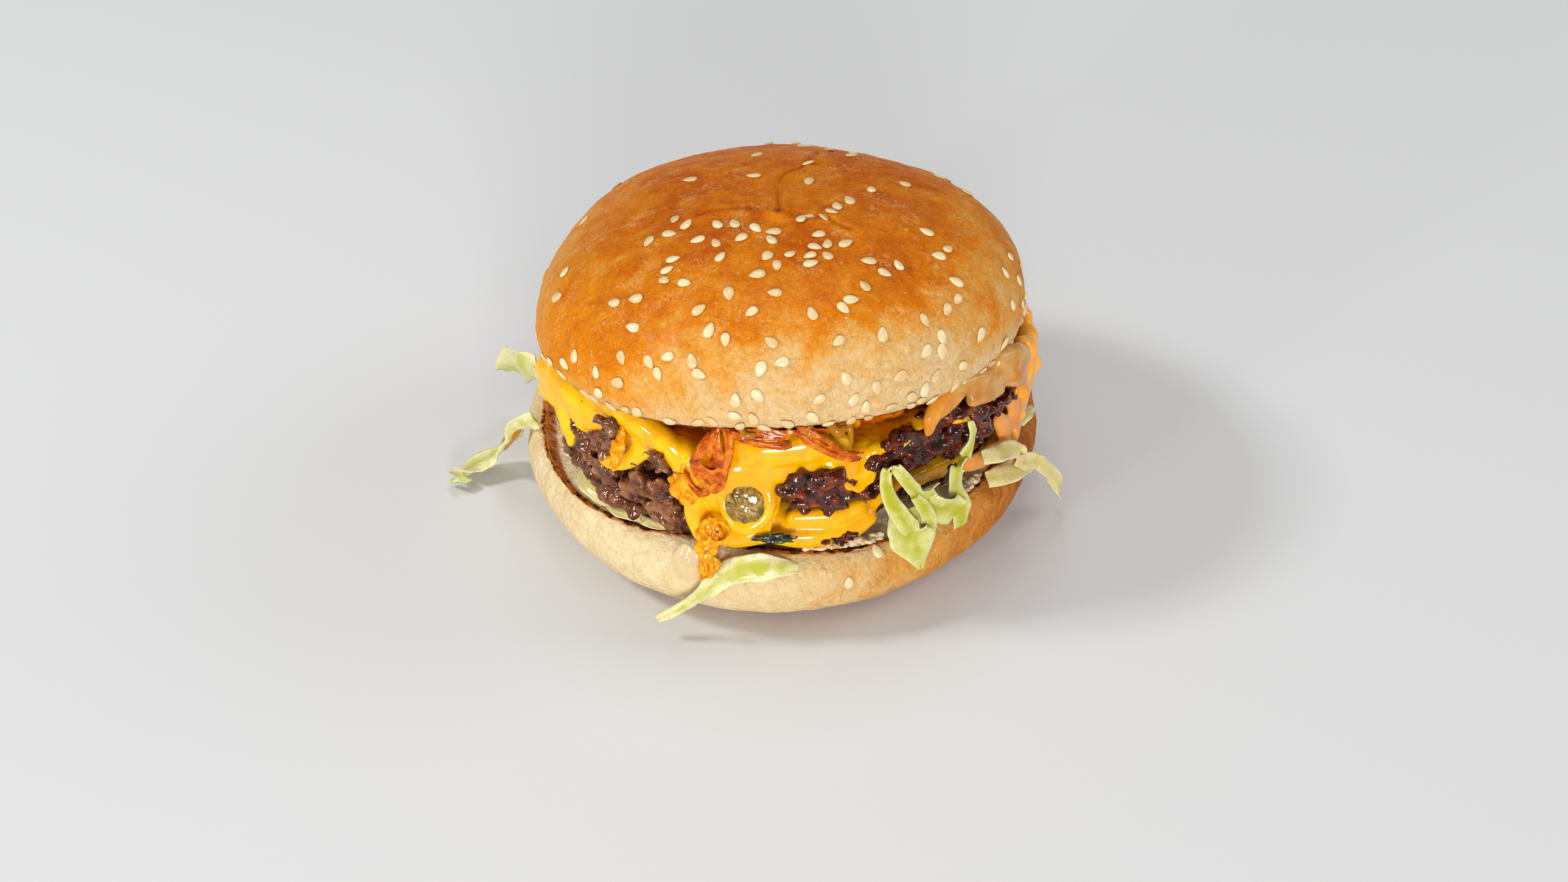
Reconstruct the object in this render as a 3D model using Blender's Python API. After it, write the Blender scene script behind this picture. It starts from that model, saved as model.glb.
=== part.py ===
"""Smash burger in a sesame bun: two patties, melted cheese, onions and lettuce.

Metres, +Z up. The burger rests on z = 0, the bun's axis is x = y = 0 and the
side that the photograph shows best faces -Y. Angles go round that axis from the
front (-Y) towards +X.
"""
import math
import random

import bmesh
import bpy
from mathutils import Euler, Matrix, Vector, noise

MM = 0.001
GAP = 0.35 * MM
LAYER_GAP = 0.5 * MM
# Steps round the filling: fine where it shows in front, coarse at the back
FRONT_STEPS = 42
BACK_STEPS = 16
FRONT_HALF_ANGLE = 98

# Bottom bun
HEEL_RADIUS = 63.5 * MM
HEEL_FOOT = 44.6 * MM
HEEL_BULGE_HEIGHT = 15.0 * MM
HEEL_RIM_HEIGHT = 23.0 * MM
HEEL_RIM_RADIUS = 58.3 * MM
HEEL_DISH = 1.2 * MM
# (angle, half width, change of the rim's radius)
HEEL_RIM_LOBES = ((-57, 20, 3.0 * MM), (-16, 15, -3.2 * MM), (24, 15, 1.2 * MM))
HEEL_SIDE_LOBES = ((45, 22, -1.0 * MM), (-25, 20, 0.4 * MM), (100, 20, 0.6 * MM))
# Stray seeds on the bottom bun: (angle, share of the side, turn)
HEEL_SEEDS = ((20.5, 1.72, 1.9), (13.5, 1.12, 1.5))

# Top bun, in its own frame before it is tipped
CROWN_RADIUS = 58.4 * MM
CROWN_DOME = 29.1 * MM
CROWN_DOME_POWER = 2.3
CROWN_DROP = 6.8 * MM
CROWN_CUT_RADIUS = 53.4 * MM
# The cut edge rises a little in front: (angle, half width, height)
CROWN_EDGE_LIFT = (0, 34, 1.6 * MM)
CROWN_CENTRE = Vector((-0.4 * MM, -1.9 * MM, 54.8 * MM))
CROWN_TILT = Euler((math.radians(-9.5), math.radians(-1.5), 0.0))
# (angle, height share of the dome, radius of the dent, depth)
CROWN_DENTS = ((-95, 0.66, 20 * MM, 3.2 * MM), (-60, 0.80, 13 * MM, 0.8 * MM),
               (8, 0.93, 12 * MM, 0.7 * MM), (150, 0.70, 18 * MM, 0.9 * MM),
               (60, 0.75, 15 * MM, 0.5 * MM))

# Sesame seeds
SEED_LENGTH = 3.4 * MM
SEED_WIDTH = 2.1 * MM
SEED_HEIGHT = 0.62 * MM
SEED_SINK = 0.7 * MM
SEED_SIDES = 5
SEED_SPACING = 2.7 * MM
SEED_COUNT = 180
SEEDS_IN_SOLID = 112
SEED_CLUMPS = 72
SEED_DRAW = 276
# Where they lie: (angle, half width) of the side with most, and the share of them elsewhere
SEED_SIDE = (8, 58)
SEED_ELSEWHERE = 0.16

# Filling: share of the wedge between the buns, at the front and at the back
LAYERS = (("lettuce_bed", 0.035, 0.06), ("patty_lower", 0.235, 0.31),
          ("cheese_lower", 0.04, 0.06), ("patty_upper", 0.35, 0.35),
          ("cheese_upper", 0.10, 0.10), ("onion_bed", 0.24, 0.12))
WEDGE_REACH = 55 * MM
INNER_RADIUS = 47.5 * MM
# Lifts of the layers' rims, by boundary: (angle, half width, height)
RIM_LIFTS = {
    2: ((33, 10, 1.5 * MM), (65, 15, -3.0 * MM)),
    3: ((33, 10, 3.0 * MM), (65, 15, -3.0 * MM)),
    4: ((36, 11, 5.0 * MM), (74, 13, -5.5 * MM)),
    5: ((36, 11, 4.0 * MM), (74, 13, -4.0 * MM), (-52, 34, 5.2 * MM), (-125, 40, 1.5 * MM)),
}

# Patties: rim radius with its lobes (angle, half width, reach), and their lumps
PATTY_LOWER_RADIUS = 51.3 * MM
PATTY_LOWER_LOBES = ((-45, 24, 4.4 * MM), (150, 40, 1.5 * MM))
PATTY_UPPER_RADIUS = 52.4 * MM
PATTY_UPPER_LOBES = ((9, 9, 4.6 * MM), (49, 24, 4.8 * MM), (-160, 30, 1.5 * MM))
# (angle, height, radius of the lump, reach)
PATTY_UPPER_KNOBS = ((-43, 45.6 * MM, 3.2 * MM, 4.4 * MM), (-29.5, 44.6 * MM, 3.0 * MM, 4.2 * MM))
PATTY_ROUNDING = 2.4 * MM
LUMP_SIZE = 6.5 * MM
LUMP_REACH = 4.2 * MM

# Melted cheese
CHEESE_SKIN = 2.2 * MM
CHEESE_UPPER_RADIUS = 57.2 * MM
CHEESE_UPPER_LOBES = ((-74, 16, 2.6 * MM), (-13, 9, 1.6 * MM), (88, 24, 1.4 * MM))
# Lower edge of the upper slice: (angle, height)
CHEESE_UPPER_HEM = ((-180, 30), (-140, 29), (-105, 32), (-84, 33), (-77, 33.5), (-71, 38), (-67, 38),
                    (-62, 33), (-58, 33), (-54.5, 40.5), (-50, 40.5), (-46.5, 44), (-44, 48), (-40, 48.5),
                    (-36.5, 45.5), (-33, 44.5), (-29, 43), (-26, 41.5), (-23.5, 38), (-21.5, 25),
                    (-19.5, 24.3), (-12, 24.2), (-4, 25.4), (-1.5, 33), (1, 44), (4, 46.5), (9, 47),
                    (11.5, 45), (14.5, 40.5), (17, 38.5), (21, 39), (23, 43), (25, 50), (45, 52),
                    (60, 49), (68, 43), (76, 38), (95, 36), (120, 33), (150, 29))
CHEESE_LOWER_RADIUS = 53.4 * MM
CHEESE_LOWER_LOBES = ((10, 18, 3.2 * MM),)
CHEESE_LOWER_HEM = ((-180, 24.8), (-120, 27), (-70, 31.5), (-30, 31.5), (-8, 28), (-1, 25.4),
                    (9, 25), (20, 25.2), (25, 29.5), (32, 31.5), (38, 28.5), (46, 26.5), (60, 26.5),
                    (110, 27), (150, 25.5))

# Burger sauce that wells out on the right: (angle, lower height, upper height, outer radius)
SAUCE_OUTLINE = ((55, 26.5, 30, 58.6), (64, 25.6, 32, 60.0), (74, 27, 38.5, 61.2),
                 (86, 30, 45, 62.6), (97, 28.5, 45.5, 62.0), (108, 29, 42, 61.0), (118, 32, 38, 59))
SAUCE_SKIN = 6.5 * MM

# Soft layers: rim radius, how ragged it is, and where it lies back (angle, half width, reach)
LETTUCE_BED = (53.0 * MM, 5.0 * MM, ((12, 22, -5.0 * MM),))
ONION_BED = (51.0 * MM, 2.5 * MM, ())

# Onions
STRAND_WIDTH = 2.6 * MM
STRAND_THICKNESS = 1.1 * MM
# Strands that hang over the cheese: points as (angle, radius, height)
ONION_STRANDS = {
    "onion_curl": ((-15.2, 57.4, 53.5), (-16.6, 59.4, 50.0), (-16.6, 60.0, 45.5),
                   (-14.2, 60.0, 42.6), (-12.0, 60.0, 45.5), (-12.8, 59.2, 50.0)),
    "onion_strand_left": ((-9.5, 57.0, 54.6), (-5.0, 58.2, 53.6), (-0.5, 58.6, 52.8), (2.2, 58.4, 52.2)),
    "onion_strand_right": ((4.6, 57.4, 54.6), (8.0, 58.8, 52.3), (13.0, 59.4, 49.0), (17.5, 59.6, 47.2)),
}

# Crisp-fried onion crumbs: centre as (angle, radius, height), then half width, height, depth
CRISPS = {
    "crispy_onion_upper": ((-22.0, 58.8, 41.6), (4.6 * MM, 4.8 * MM, 1.9 * MM)),
    "crispy_onion_lower": ((-16.6, 60.6, 27.6), (3.0 * MM, 5.4 * MM, 1.7 * MM)),
}
GHERKIN_PLACE = (-8.3, 58.0, 38.8)
GHERKIN_SIZE = (4.4 * MM, 5.4 * MM, 1.6 * MM)
PEPPER_PATH = ((-7.6, 60.6, 29.6), (-4.6, 60.4, 28.9), (-1.6, 59.8, 29.2), (0.8, 59.0, 30.0))
PEPPER_WIDTH = 2.2 * MM
PEPPER_THICKNESS = 0.9 * MM

# Lettuce: points as (angle, radius, height), width, and how far the width leans
# out of the upright towards the radius, in degrees
LEAF_THICKNESS = 0.7 * MM
LETTUCE = {
    "lettuce_front": (
        ((3.0, 61.8, 21.8), (-5.0, 62.0, 22.0), (-12.0, 63.2, 20.6), (-16.5, 65.6, 15.6),
         (-21.0, 66.6, 10.4), (-26.0, 68.4, 6.2)),
        (4.6, 6.2, 5.0, 3.8, 2.6, 0.9), (-50, -50, -45, -20, 0, 10), 0.35),
    "lettuce_strip_left": (
        ((-79.0, 61.4, 26.2), (-82.0, 65.6, 22.6), (-86.5, 67.8, 14.0), (-90.0, 72.0, 6.6),
         (-88.5, 78.5, 4.0), (-85.0, 84.0, 3.2)),
        (4.5, 5.5, 6.5, 7.0, 7.5, 5.0), (15, 25, 45, 75, 85, 70), 0.8),
    "lettuce_back_left": (
        ((-97.0, 61.4, 28.0), (-100.0, 66.2, 26.0), (-104.5, 70.4, 20.6), (-108.5, 75.6, 14.6)),
        (6.0, 11.0, 11.0, 5.0), (10, 15, 25, 40), 1.1),
    "lettuce_strip_right": (
        ((53.0, 60.4, 25.2), (58.0, 63.2, 25.0), (62.5, 65.0, 24.6), (66.5, 66.8, 22.4),
         (70.0, 69.0, 16.6), (73.0, 70.6, 10.0), (75.0, 71.0, 4.6)),
        (3.6, 5.8, 5.2, 4.0, 3.8, 3.8, 3.0), (-60, -65, -60, -20, 10, 10, 10), 0.7),
    "lettuce_bit_right": (
        ((76.0, 59.6, 24.5), (80.0, 61.2, 24.1), (84.0, 62.4, 22.9)),
        (2.6, 3.0, 1.6), (-75, -70, -60), 0.2),
}
# The folded leaf at the right front is one piece made of a blade, a curl and a ribbon
FOLDED_LEAF = (
    (((33.5, 60.2, 32.6), (33.0, 61.6, 29.0), (32.2, 63.6, 24.0), (31.4, 65.6, 19.4), (30.6, 66.6, 15.6)),
     (7.0, 11.0, 11.5, 8.0, 1.2), (88, 88, 88, 88, 88), 0.5),
    (((31.5, 62.8, 26.0), (27.4, 62.4, 28.4), (25.0, 61.8, 34.2), (23.4, 61.4, 40.6), (25.2, 61.2, 44.2),
      (29.0, 61.2, 40.0), (34.6, 60.6, 34.6)),
     (3.6, 3.4, 3.0, 2.4, 2.4, 2.8, 2.6), (60, 50, 60, 75, 80, 70, 60), 0.15),
    (((36.0, 63.4, 24.2), (40.2, 62.6, 27.0), (41.4, 62.0, 32.0), (44.0, 61.8, 37.0), (48.0, 61.2, 40.8),
      (49.8, 60.8, 44.6)),
     (4.4, 4.4, 3.8, 3.6, 3.0, 1.0), (70, 60, 50, 60, 70, 80), 0.25),
)

# Colours as (red, green, blue), roughness
LOOKS = {
    "crust": ((0.60, 0.27, 0.075), 0.42),
    "pale_crust": ((0.72, 0.50, 0.25), 0.50),
    "patty": ((0.085, 0.030, 0.018), 0.30),
    "cheese": ((0.90, 0.46, 0.02), 0.24),
    "sauce": ((0.86, 0.47, 0.14), 0.22),
    "onion": ((0.42, 0.11, 0.015), 0.22),
    "crispy_onion": ((0.72, 0.33, 0.05), 0.35),
    "gherkin": ((0.20, 0.19, 0.08), 0.15),
    "pepper": ((0.012, 0.022, 0.012), 0.18),
    "lettuce": ((0.50, 0.62, 0.20), 0.38),
}


def polar(angle, radius, height=0.0):
    """A point round the bun's axis, from an angle in degrees, a radius and a height."""
    turn = math.radians(angle)
    return Vector((radius * math.sin(turn), -radius * math.cos(turn), height))


def angle_of(x, y):
    return math.degrees(math.atan2(x, -y))


def ring_angles():
    """Angles of the points of a ring."""
    back = 360 - 2 * FRONT_HALF_ANGLE
    front = [-FRONT_HALF_ANGLE + 2 * FRONT_HALF_ANGLE * k / FRONT_STEPS for k in range(FRONT_STEPS)]
    return front + [FRONT_HALF_ANGLE + back * k / BACK_STEPS for k in range(BACK_STEPS)]


def lobe(angle, centre, half_width):
    """A smooth bump of height 1 round an angle."""
    away = (angle - centre + 180) % 360 - 180
    return math.exp(-(away / half_width) ** 2)


def lobed(angle, base, lobes):
    return base + sum(reach * lobe(angle, centre, width) for centre, width, reach in lobes)


def along(table, angle, column=1):
    """Smooth value of a table of rows that start with an angle, all the way round."""
    rows = list(table) + [(table[0][0] + 360,) + tuple(table[0][1:])]
    angle = (angle - rows[0][0]) % 360 + rows[0][0]
    for low, high in zip(rows, rows[1:]):
        if low[0] <= angle <= high[0]:
            share = (angle - low[0]) / (high[0] - low[0])
            share = share * share * (3 - 2 * share)
            return low[column] + (high[column] - low[column]) * share
    return rows[-1][column]


def material(look):
    if look in bpy.data.materials:
        return bpy.data.materials[look]
    colour, roughness = LOOKS[look]
    made = bpy.data.materials.new(look)
    made.use_nodes = True
    shader = made.node_tree.nodes["Principled BSDF"]
    shader.inputs["Base Color"].default_value = (*colour, 1.0)
    shader.inputs["Roughness"].default_value = roughness
    shader.inputs["Metallic"].default_value = 0.0
    return made


def new_object(name, mesh, look):
    made = bpy.data.objects.new(name, mesh)
    made.data.materials.append(material(look))
    bpy.context.scene.collection.objects.link(made)
    return made


def ring_body(name, rings, look):
    """A closed body from rings of equal count, shut by a fan at each end."""
    shape = bmesh.new()
    loops = [[shape.verts.new(point) for point in ring] for ring in rings]
    count = len(loops[0])
    for low, high in zip(loops, loops[1:]):
        for k in range(count):
            shape.faces.new((low[k], low[(k + 1) % count], high[(k + 1) % count], high[k]))
    for loop, middle in ((loops[0], sum(rings[0], Vector()) / count),
                         (loops[-1], sum(rings[-1], Vector()) / count)):
        tip = shape.verts.new(middle)
        for k in range(count):
            shape.faces.new((loop[k], loop[(k + 1) % count], tip))
    bmesh.ops.recalc_face_normals(shape, faces=shape.faces)
    bmesh.ops.triangulate(shape, faces=shape.faces)
    mesh = bpy.data.meshes.new(name)
    shape.to_mesh(mesh)
    shape.free()
    return new_object(name, mesh, look)


def baked(item):
    """Replace an object's mesh by what its modifiers make of it."""
    bpy.context.view_layer.update()
    result = bpy.data.meshes.new_from_object(item.evaluated_get(bpy.context.evaluated_depsgraph_get()))
    item.modifiers.clear()
    item.data = result


def keep_largest(item):
    """Drop the loose scraps that a cut leaves."""
    shape = bmesh.new()
    shape.from_mesh(item.data)
    left = set(shape.verts)
    islands = []
    while left:
        front = [left.pop()]
        island = list(front)
        while front:
            vert = front.pop()
            for edge in vert.link_edges:
                other = edge.other_vert(vert)
                if other in left:
                    left.remove(other)
                    front.append(other)
                    island.append(other)
        islands.append(island)
    islands.sort(key=len)
    scraps = [vert for island in islands[:-1] for vert in island]
    bmesh.ops.delete(shape, geom=scraps, context="VERTS")
    bmesh.ops.triangulate(shape, faces=shape.faces)
    shape.to_mesh(item.data)
    shape.free()


def grown(item, distance):
    """A copy of a body with its skin moved outwards."""
    shape = bmesh.new()
    shape.from_mesh(item.data)
    bmesh.ops.transform(shape, matrix=item.matrix_world, verts=shape.verts)
    shape.normal_update()
    moves = [vert.normal * distance * vert.calc_shell_factor() for vert in shape.verts]
    for vert, move in zip(shape.verts, moves):
        vert.co += move
    mesh = bpy.data.meshes.new(item.name + "_grown")
    shape.to_mesh(mesh)
    shape.free()
    made = bpy.data.objects.new(mesh.name, mesh)
    bpy.context.scene.collection.objects.link(made)
    made.hide_render = True
    made.display_type = "WIRE"
    return made


def carve(item, others):
    """Cut the room of other bodies, and a gap round them, out of a body."""
    for other in others:
        cutter = grown(other, GAP)
        cut = item.modifiers.new("room", "BOOLEAN")
        cut.operation = "DIFFERENCE"
        cut.object = cutter
        baked(item)
        bpy.data.objects.remove(cutter)
    keep_largest(item)


def heel_rim_radius(angle):
    return lobed(angle, HEEL_RIM_RADIUS, HEEL_RIM_LOBES)


def heel_point(angle, share):
    """A point of the bottom bun's side: share 0 at the foot, 1 at the widest circle, 2 at the rim."""
    bulge = lobed(angle, HEEL_RADIUS, HEEL_SIDE_LOBES) + 0.7 * MM * noise.noise(polar(angle, 1.3, 2.0))
    rim = heel_rim_radius(angle)
    turn = math.radians(90 * (share % 1 if share < 2 else 1))
    if share < 1:
        return polar(angle, HEEL_FOOT + (bulge - HEEL_FOOT) * math.sin(turn),
                     HEEL_BULGE_HEIGHT * (1 - math.cos(turn)))
    return polar(angle, rim + (bulge - rim) * math.cos(turn),
                 HEEL_BULGE_HEIGHT + (HEEL_RIM_HEIGHT - HEEL_BULGE_HEIGHT) * math.sin(turn))


def bottom_bun():
    """Pillowy bottom bun: flat foot, bulging side, toasted rim and a slightly dished crumb."""
    shares = (0, 0.25, 0.5, 0.75, 1, 1.3, 1.6, 2)
    rings = [[heel_point(angle, share) for angle in ring_angles()] for share in shares]
    for inset, drop in ((1.2 * MM, 0.4 * HEEL_DISH), (2.8 * MM, HEEL_DISH)):
        rings.append([polar(angle, heel_rim_radius(angle) - inset, HEEL_RIM_HEIGHT - drop)
                      for angle in ring_angles()])
    heel = ring_body("bun_bottom", rings, "pale_crust")
    fuse_seeds(heel, [(skin_frame(heel_point, angle, share), turn, 1.0) for angle, share, turn in HEEL_SEEDS])
    return heel


def roof_height(x, y):
    """Cut face of the tipped top bun."""
    up = CROWN_TILT.to_matrix() @ Vector((0, 0, 1))
    foot = CROWN_CENTRE - up * CROWN_DROP
    return foot.z - (up.x * (x - foot.x) + up.y * (y - foot.y)) / up.z


def boundary(level, x, y):
    """Height of the face between two layers of the filling."""
    back = min(max((y + WEDGE_REACH) / (2 * WEDGE_REACH), 0), 1)
    share = sum(front + (rear - front) * back for name, front, rear in LAYERS[:level])
    low = HEEL_RIM_HEIGHT - HEEL_DISH
    reach = min(math.hypot(x, y) / WEDGE_REACH, 1.05) ** 6
    lift = sum(height * lobe(angle_of(x, y), centre, width)
               for centre, width, height in RIM_LIFTS.get(level, ()))
    height = low + (roof_height(x, y) - low) * share + lift * reach
    return min(height, roof_height(x, y))


def level_of(name):
    return [row[0] for row in LAYERS].index(name)


def layer_rings(name, side_points):
    """Rings of a layer: its underside outwards, its own side, its top inwards."""
    level = level_of(name)
    under = []
    over = []
    for angle in ring_angles():
        spot = polar(angle, INNER_RADIUS)
        under.append(Vector((spot.x, spot.y, boundary(level, spot.x, spot.y) + LAYER_GAP / 2)))
        over.append(Vector((spot.x, spot.y, boundary(level + 1, spot.x, spot.y) - LAYER_GAP / 2)))
    return [under] + side_points + [over]


def lumps(spot, size, reach):
    """Rounded, irregular lumps such as minced meat has."""
    fine = noise.noise(spot / size)
    coarse = noise.noise(spot / (2.3 * size) + Vector((5, 1, 3)))
    return reach * (0.75 * fine + 0.8 * coarse)


def patty(name, radius, lobes, knobs=()):
    """A smashed patty with a craggy rim that follows the layers above and below it."""
    level = level_of(name)
    side = []
    for step in range(6):
        turn = math.radians(-78 + 156 * step / 5)
        ring = []
        for angle in ring_angles():
            edge = lobed(angle, radius, lobes)
            spot = polar(angle, edge)
            low = boundary(level, spot.x, spot.y) + 0.6 * LAYER_GAP
            high = boundary(level + 1, spot.x, spot.y) - 0.6 * LAYER_GAP
            middle = (low + high) / 2
            height = middle + (high - low) / 2 * math.sin(turn)
            out = edge - PATTY_ROUNDING * (1 - math.cos(turn))
            out += lumps(polar(angle, edge, height), LUMP_SIZE, LUMP_REACH)
            for knob_angle, knob_height, knob_radius, reach in knobs:
                away = (polar(angle, edge, height) - polar(knob_angle, edge, knob_height)).length
                out += reach * math.exp(-(away / knob_radius) ** 2)
            ring.append(polar(angle, out, height))
        side.append(ring)
    return ring_body(name, layer_rings(name, side), "patty")


def cheese(name, radius, lobes, hem, least):
    """A melted slice: a flat middle, and a skirt that hangs down to its hem."""
    level = level_of(name)
    drop_steps = (0.0, 0.5, 1.0)
    columns = []
    for angle in ring_angles():
        edge = lobed(angle, radius, lobes) + 0.7 * MM * noise.noise(polar(angle, 3.1, 7.0))
        spot = polar(angle, edge - CHEESE_SKIN)
        under = boundary(level, spot.x, spot.y) + LAYER_GAP / 2
        over = boundary(level + 1, spot.x, spot.y) - LAYER_GAP / 2
        bottom = min(along(hem, angle) * MM, under - least)
        points = []
        for share in drop_steps:
            points.append(polar(angle, edge - CHEESE_SKIN, under + (bottom - under) * share))
        points.append(polar(angle, edge - 0.45 * CHEESE_SKIN, bottom - 0.35 * MM))
        top = over - min(1.6 * MM, 0.45 * (over - bottom))
        for share in (1.0, 0.6, 0.0):
            points.append(polar(angle, edge - 0.25 * MM * share, top + (bottom + 0.5 * MM - top) * share))
        points.append(polar(angle, edge - 1.3 * MM, over - 0.3 * MM))
        columns.append(points)
    side = [[column[j] for column in columns] for j in range(len(columns[0]))]
    return ring_body(name, layer_rings(name, side), "cheese")


def soft_layer(name, radius, ragged, lobes, look):
    """A thin layer with an uneven edge."""
    level = level_of(name)
    side = []
    for share in (0.2, 0.8):
        ring = []
        for angle in ring_angles():
            edge = lobed(angle, radius, lobes) + ragged * noise.noise(polar(angle, 7.0, level))
            edge = min(max(edge, INNER_RADIUS + 0.5 * MM), heel_rim_radius(angle) - 3.4 * MM)
            spot = polar(angle, edge)
            low = boundary(level, spot.x, spot.y) + LAYER_GAP / 2
            high = boundary(level + 1, spot.x, spot.y) - LAYER_GAP / 2
            ring.append(Vector((spot.x, spot.y, low + (high - low) * share)))
        side.append(ring)
    return ring_body(name, layer_rings(name, side), look)


def sauce():
    """Burger sauce that wells out between the buns on the right."""
    first = SAUCE_OUTLINE[0][0]
    last = SAUCE_OUTLINE[-1][0]
    steps = 16
    around = 10
    rings = []
    for step in range(steps + 1):
        angle = first + (last - first) * step / steps
        low = along(SAUCE_OUTLINE, angle, 1) * MM
        high = along(SAUCE_OUTLINE, angle, 2) * MM
        outer = along(SAUCE_OUTLINE, angle, 3) * MM
        taper = min(1.0, 0.35 + 2.4 * min(step, steps - step) / steps)
        middle = (low + high) / 2
        half = (high - low) / 2 * taper
        ring = []
        for k in range(around):
            turn = 2 * math.pi * k / around
            pillow = 1 + 0.12 * math.sin(3 * turn + 0.2 * step)
            reach = SAUCE_SKIN / 2 * (math.cos(turn) * pillow * taper - 1)
            ring.append(polar(angle, outer + reach, middle + half * math.sin(turn)))
        rings.append(ring)
    return ring_body("sauce", rings, "sauce")


def spline(points, count):
    """Evenly stepped points along a smooth curve through control points."""
    ends = [points[0] * 2 - points[1]] + list(points) + [points[-1] * 2 - points[-2]]
    made = []
    for step in range(count):
        place = (len(points) - 1) * step / (count - 1)
        k = min(int(place), len(points) - 2)
        t = place - k
        a, b, c, d = ends[k:k + 4]
        made.append(0.5 * (2 * b + (c - a) * t + (2 * a - 5 * b + 4 * c - d) * t * t
                           + (3 * b - a - 3 * c + d) * t ** 3))
    return made


def blend(values, place):
    """Linear value between a row of numbers, place from 0 to 1."""
    spot = place * (len(values) - 1)
    k = min(int(spot), len(values) - 2)
    return values[k] + (values[k + 1] - values[k]) * (spot - k)


def ribbon(name, points, widths, leans, ruffle, thickness, look, steps=10, across=3):
    """A thin wavy strip along a path; both faces are split into triangles alike.

    Points are (angle, radius, height) in degrees and millimetres. A lean of 0 holds
    the width upright, 90 holds it level round the axis.
    """
    path = spline([polar(a, r * MM, h * MM) for a, r, h in points], steps + 1)
    upper = []
    lower = []
    for k, spot in enumerate(path):
        place = k / steps
        ahead = (path[min(k + 1, steps)] - path[max(k - 1, 0)]).normalized()
        lean = math.radians(blend(leans, place))
        outward = Vector((spot.x, spot.y, 0)).normalized()
        level = Vector((0, 0, 1)).cross(outward)
        width_way = Vector((0, 0, 1)) * math.cos(lean)
        if abs(ahead.dot(level)) > 0.7:
            width_way = width_way + outward * math.sin(lean)
        else:
            width_way = width_way + level * math.sin(lean)
        width_way = (width_way - ahead * width_way.dot(ahead)).normalized()
        face_way = ahead.cross(width_way).normalized()
        half = blend(widths, place) * MM / 2
        for j in range(across + 1):
            share = 2 * j / across - 1
            wave = ruffle * MM * share * share * math.sin(9.0 * place * len(points) / 4 + 1.7 * share)
            middle = spot + width_way * half * share + face_way * wave
            upper.append(middle + face_way * thickness / 2)
            lower.append(middle - face_way * thickness / 2)
    shape = bmesh.new()
    tops = [shape.verts.new(point) for point in upper]
    bottoms = [shape.verts.new(point) for point in lower]
    wide = across + 1
    for k in range(steps):
        for j in range(across):
            a, b, c, d = k * wide + j, k * wide + j + 1, (k + 1) * wide + j + 1, (k + 1) * wide + j
            for face in ((tops[a], tops[b], tops[c]), (tops[a], tops[c], tops[d])):
                shape.faces.new(face)
            for face in ((bottoms[a], bottoms[c], bottoms[b]), (bottoms[a], bottoms[d], bottoms[c])):
                shape.faces.new(face)
    border = [j for j in range(wide)] + [k * wide + across for k in range(1, steps + 1)]
    border += [steps * wide + j for j in range(across - 1, -1, -1)]
    border += [k * wide for k in range(steps - 1, 0, -1)]
    for a, b in zip(border, border[1:] + border[:1]):
        shape.faces.new((tops[a], bottoms[a], bottoms[b]))
        shape.faces.new((tops[a], bottoms[b], tops[b]))
    bmesh.ops.recalc_face_normals(shape, faces=shape.faces)
    mesh = bpy.data.meshes.new(name)
    shape.to_mesh(mesh)
    shape.free()
    return new_object(name, mesh, look)


def facing(angle, slope=25):
    """Turn that lays a flat thing on the filling's side: its Z looks outwards and up by the slope."""
    return Matrix.Rotation(math.radians(angle), 3, "Z") @ Matrix.Rotation(math.radians(90 - slope), 3, "X")


def nugget(name, place, size, roughness, look, detail=2, slope=25):
    """A rounded or craggy piece on the filling's side."""
    angle, radius, height = place
    shape = bmesh.new()
    bmesh.ops.create_icosphere(shape, subdivisions=detail, radius=1.0)
    turn = facing(angle, slope)
    centre = polar(angle, radius * MM, height * MM)
    for vert in shape.verts:
        rough = 1 + roughness * noise.noise(vert.co * 1.9 + Vector((height, angle, 0)))
        local = Vector((vert.co.x * size[0], vert.co.y * size[1], vert.co.z * size[2])) * rough
        vert.co = centre + turn @ local
    mesh = bpy.data.meshes.new(name)
    shape.to_mesh(mesh)
    shape.free()
    return new_object(name, mesh, look)


def dome_point(angle, share):
    """A point of the top bun's skin in its own frame.

    The share runs from 0 at the top over 1 at the widest circle to 2 at the cut edge.
    """
    if share <= 1:
        turn = math.radians(90 * share)
        out = CROWN_RADIUS * math.sin(turn) ** (2 / CROWN_DOME_POWER)
        up = CROWN_DOME * max(math.cos(turn), 0.0) ** (2 / CROWN_DOME_POWER)
    else:
        turn = math.radians(90 * (share - 1))
        out = CROWN_CUT_RADIUS + (CROWN_RADIUS - CROWN_CUT_RADIUS) * math.cos(turn)
        centre, width, height = CROWN_EDGE_LIFT
        up = -(CROWN_DROP - height * lobe(angle, centre, width)) * math.sin(turn)
    spot = polar(angle, out, up)
    for dent_angle, height_share, dent_radius, depth in CROWN_DENTS:
        dent_turn = math.acos(height_share ** (CROWN_DOME_POWER / 2))
        dent_spot = polar(dent_angle, CROWN_RADIUS * math.sin(dent_turn) ** (2 / CROWN_DOME_POWER),
                          CROWN_DOME * height_share)
        away = (spot - dent_spot).length / dent_radius
        spot -= spot.normalized() * depth * math.exp(-away * away)
    soft = noise.noise(spot / (22 * MM) + Vector((3, 8, 1)))
    fade = min(1.0, 2.2 - share) if share > 1.2 else 1.0
    return spot + spot.normalized() * soft * 0.8 * MM * fade


def skin_frame(skin_point, angle, share):
    """A point of a bun's skin with its outward normal and the direction round the bun."""
    spot = skin_point(angle, share)
    aside = skin_point(angle + 1.5, share) - skin_point(angle - 1.5, share)
    down = skin_point(angle, share + 0.02) - skin_point(angle, share - 0.02)
    normal = down.cross(aside).normalized()
    if normal.dot(spot) < 0:
        normal.negate()
    return spot, normal, aside.normalized()


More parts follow.
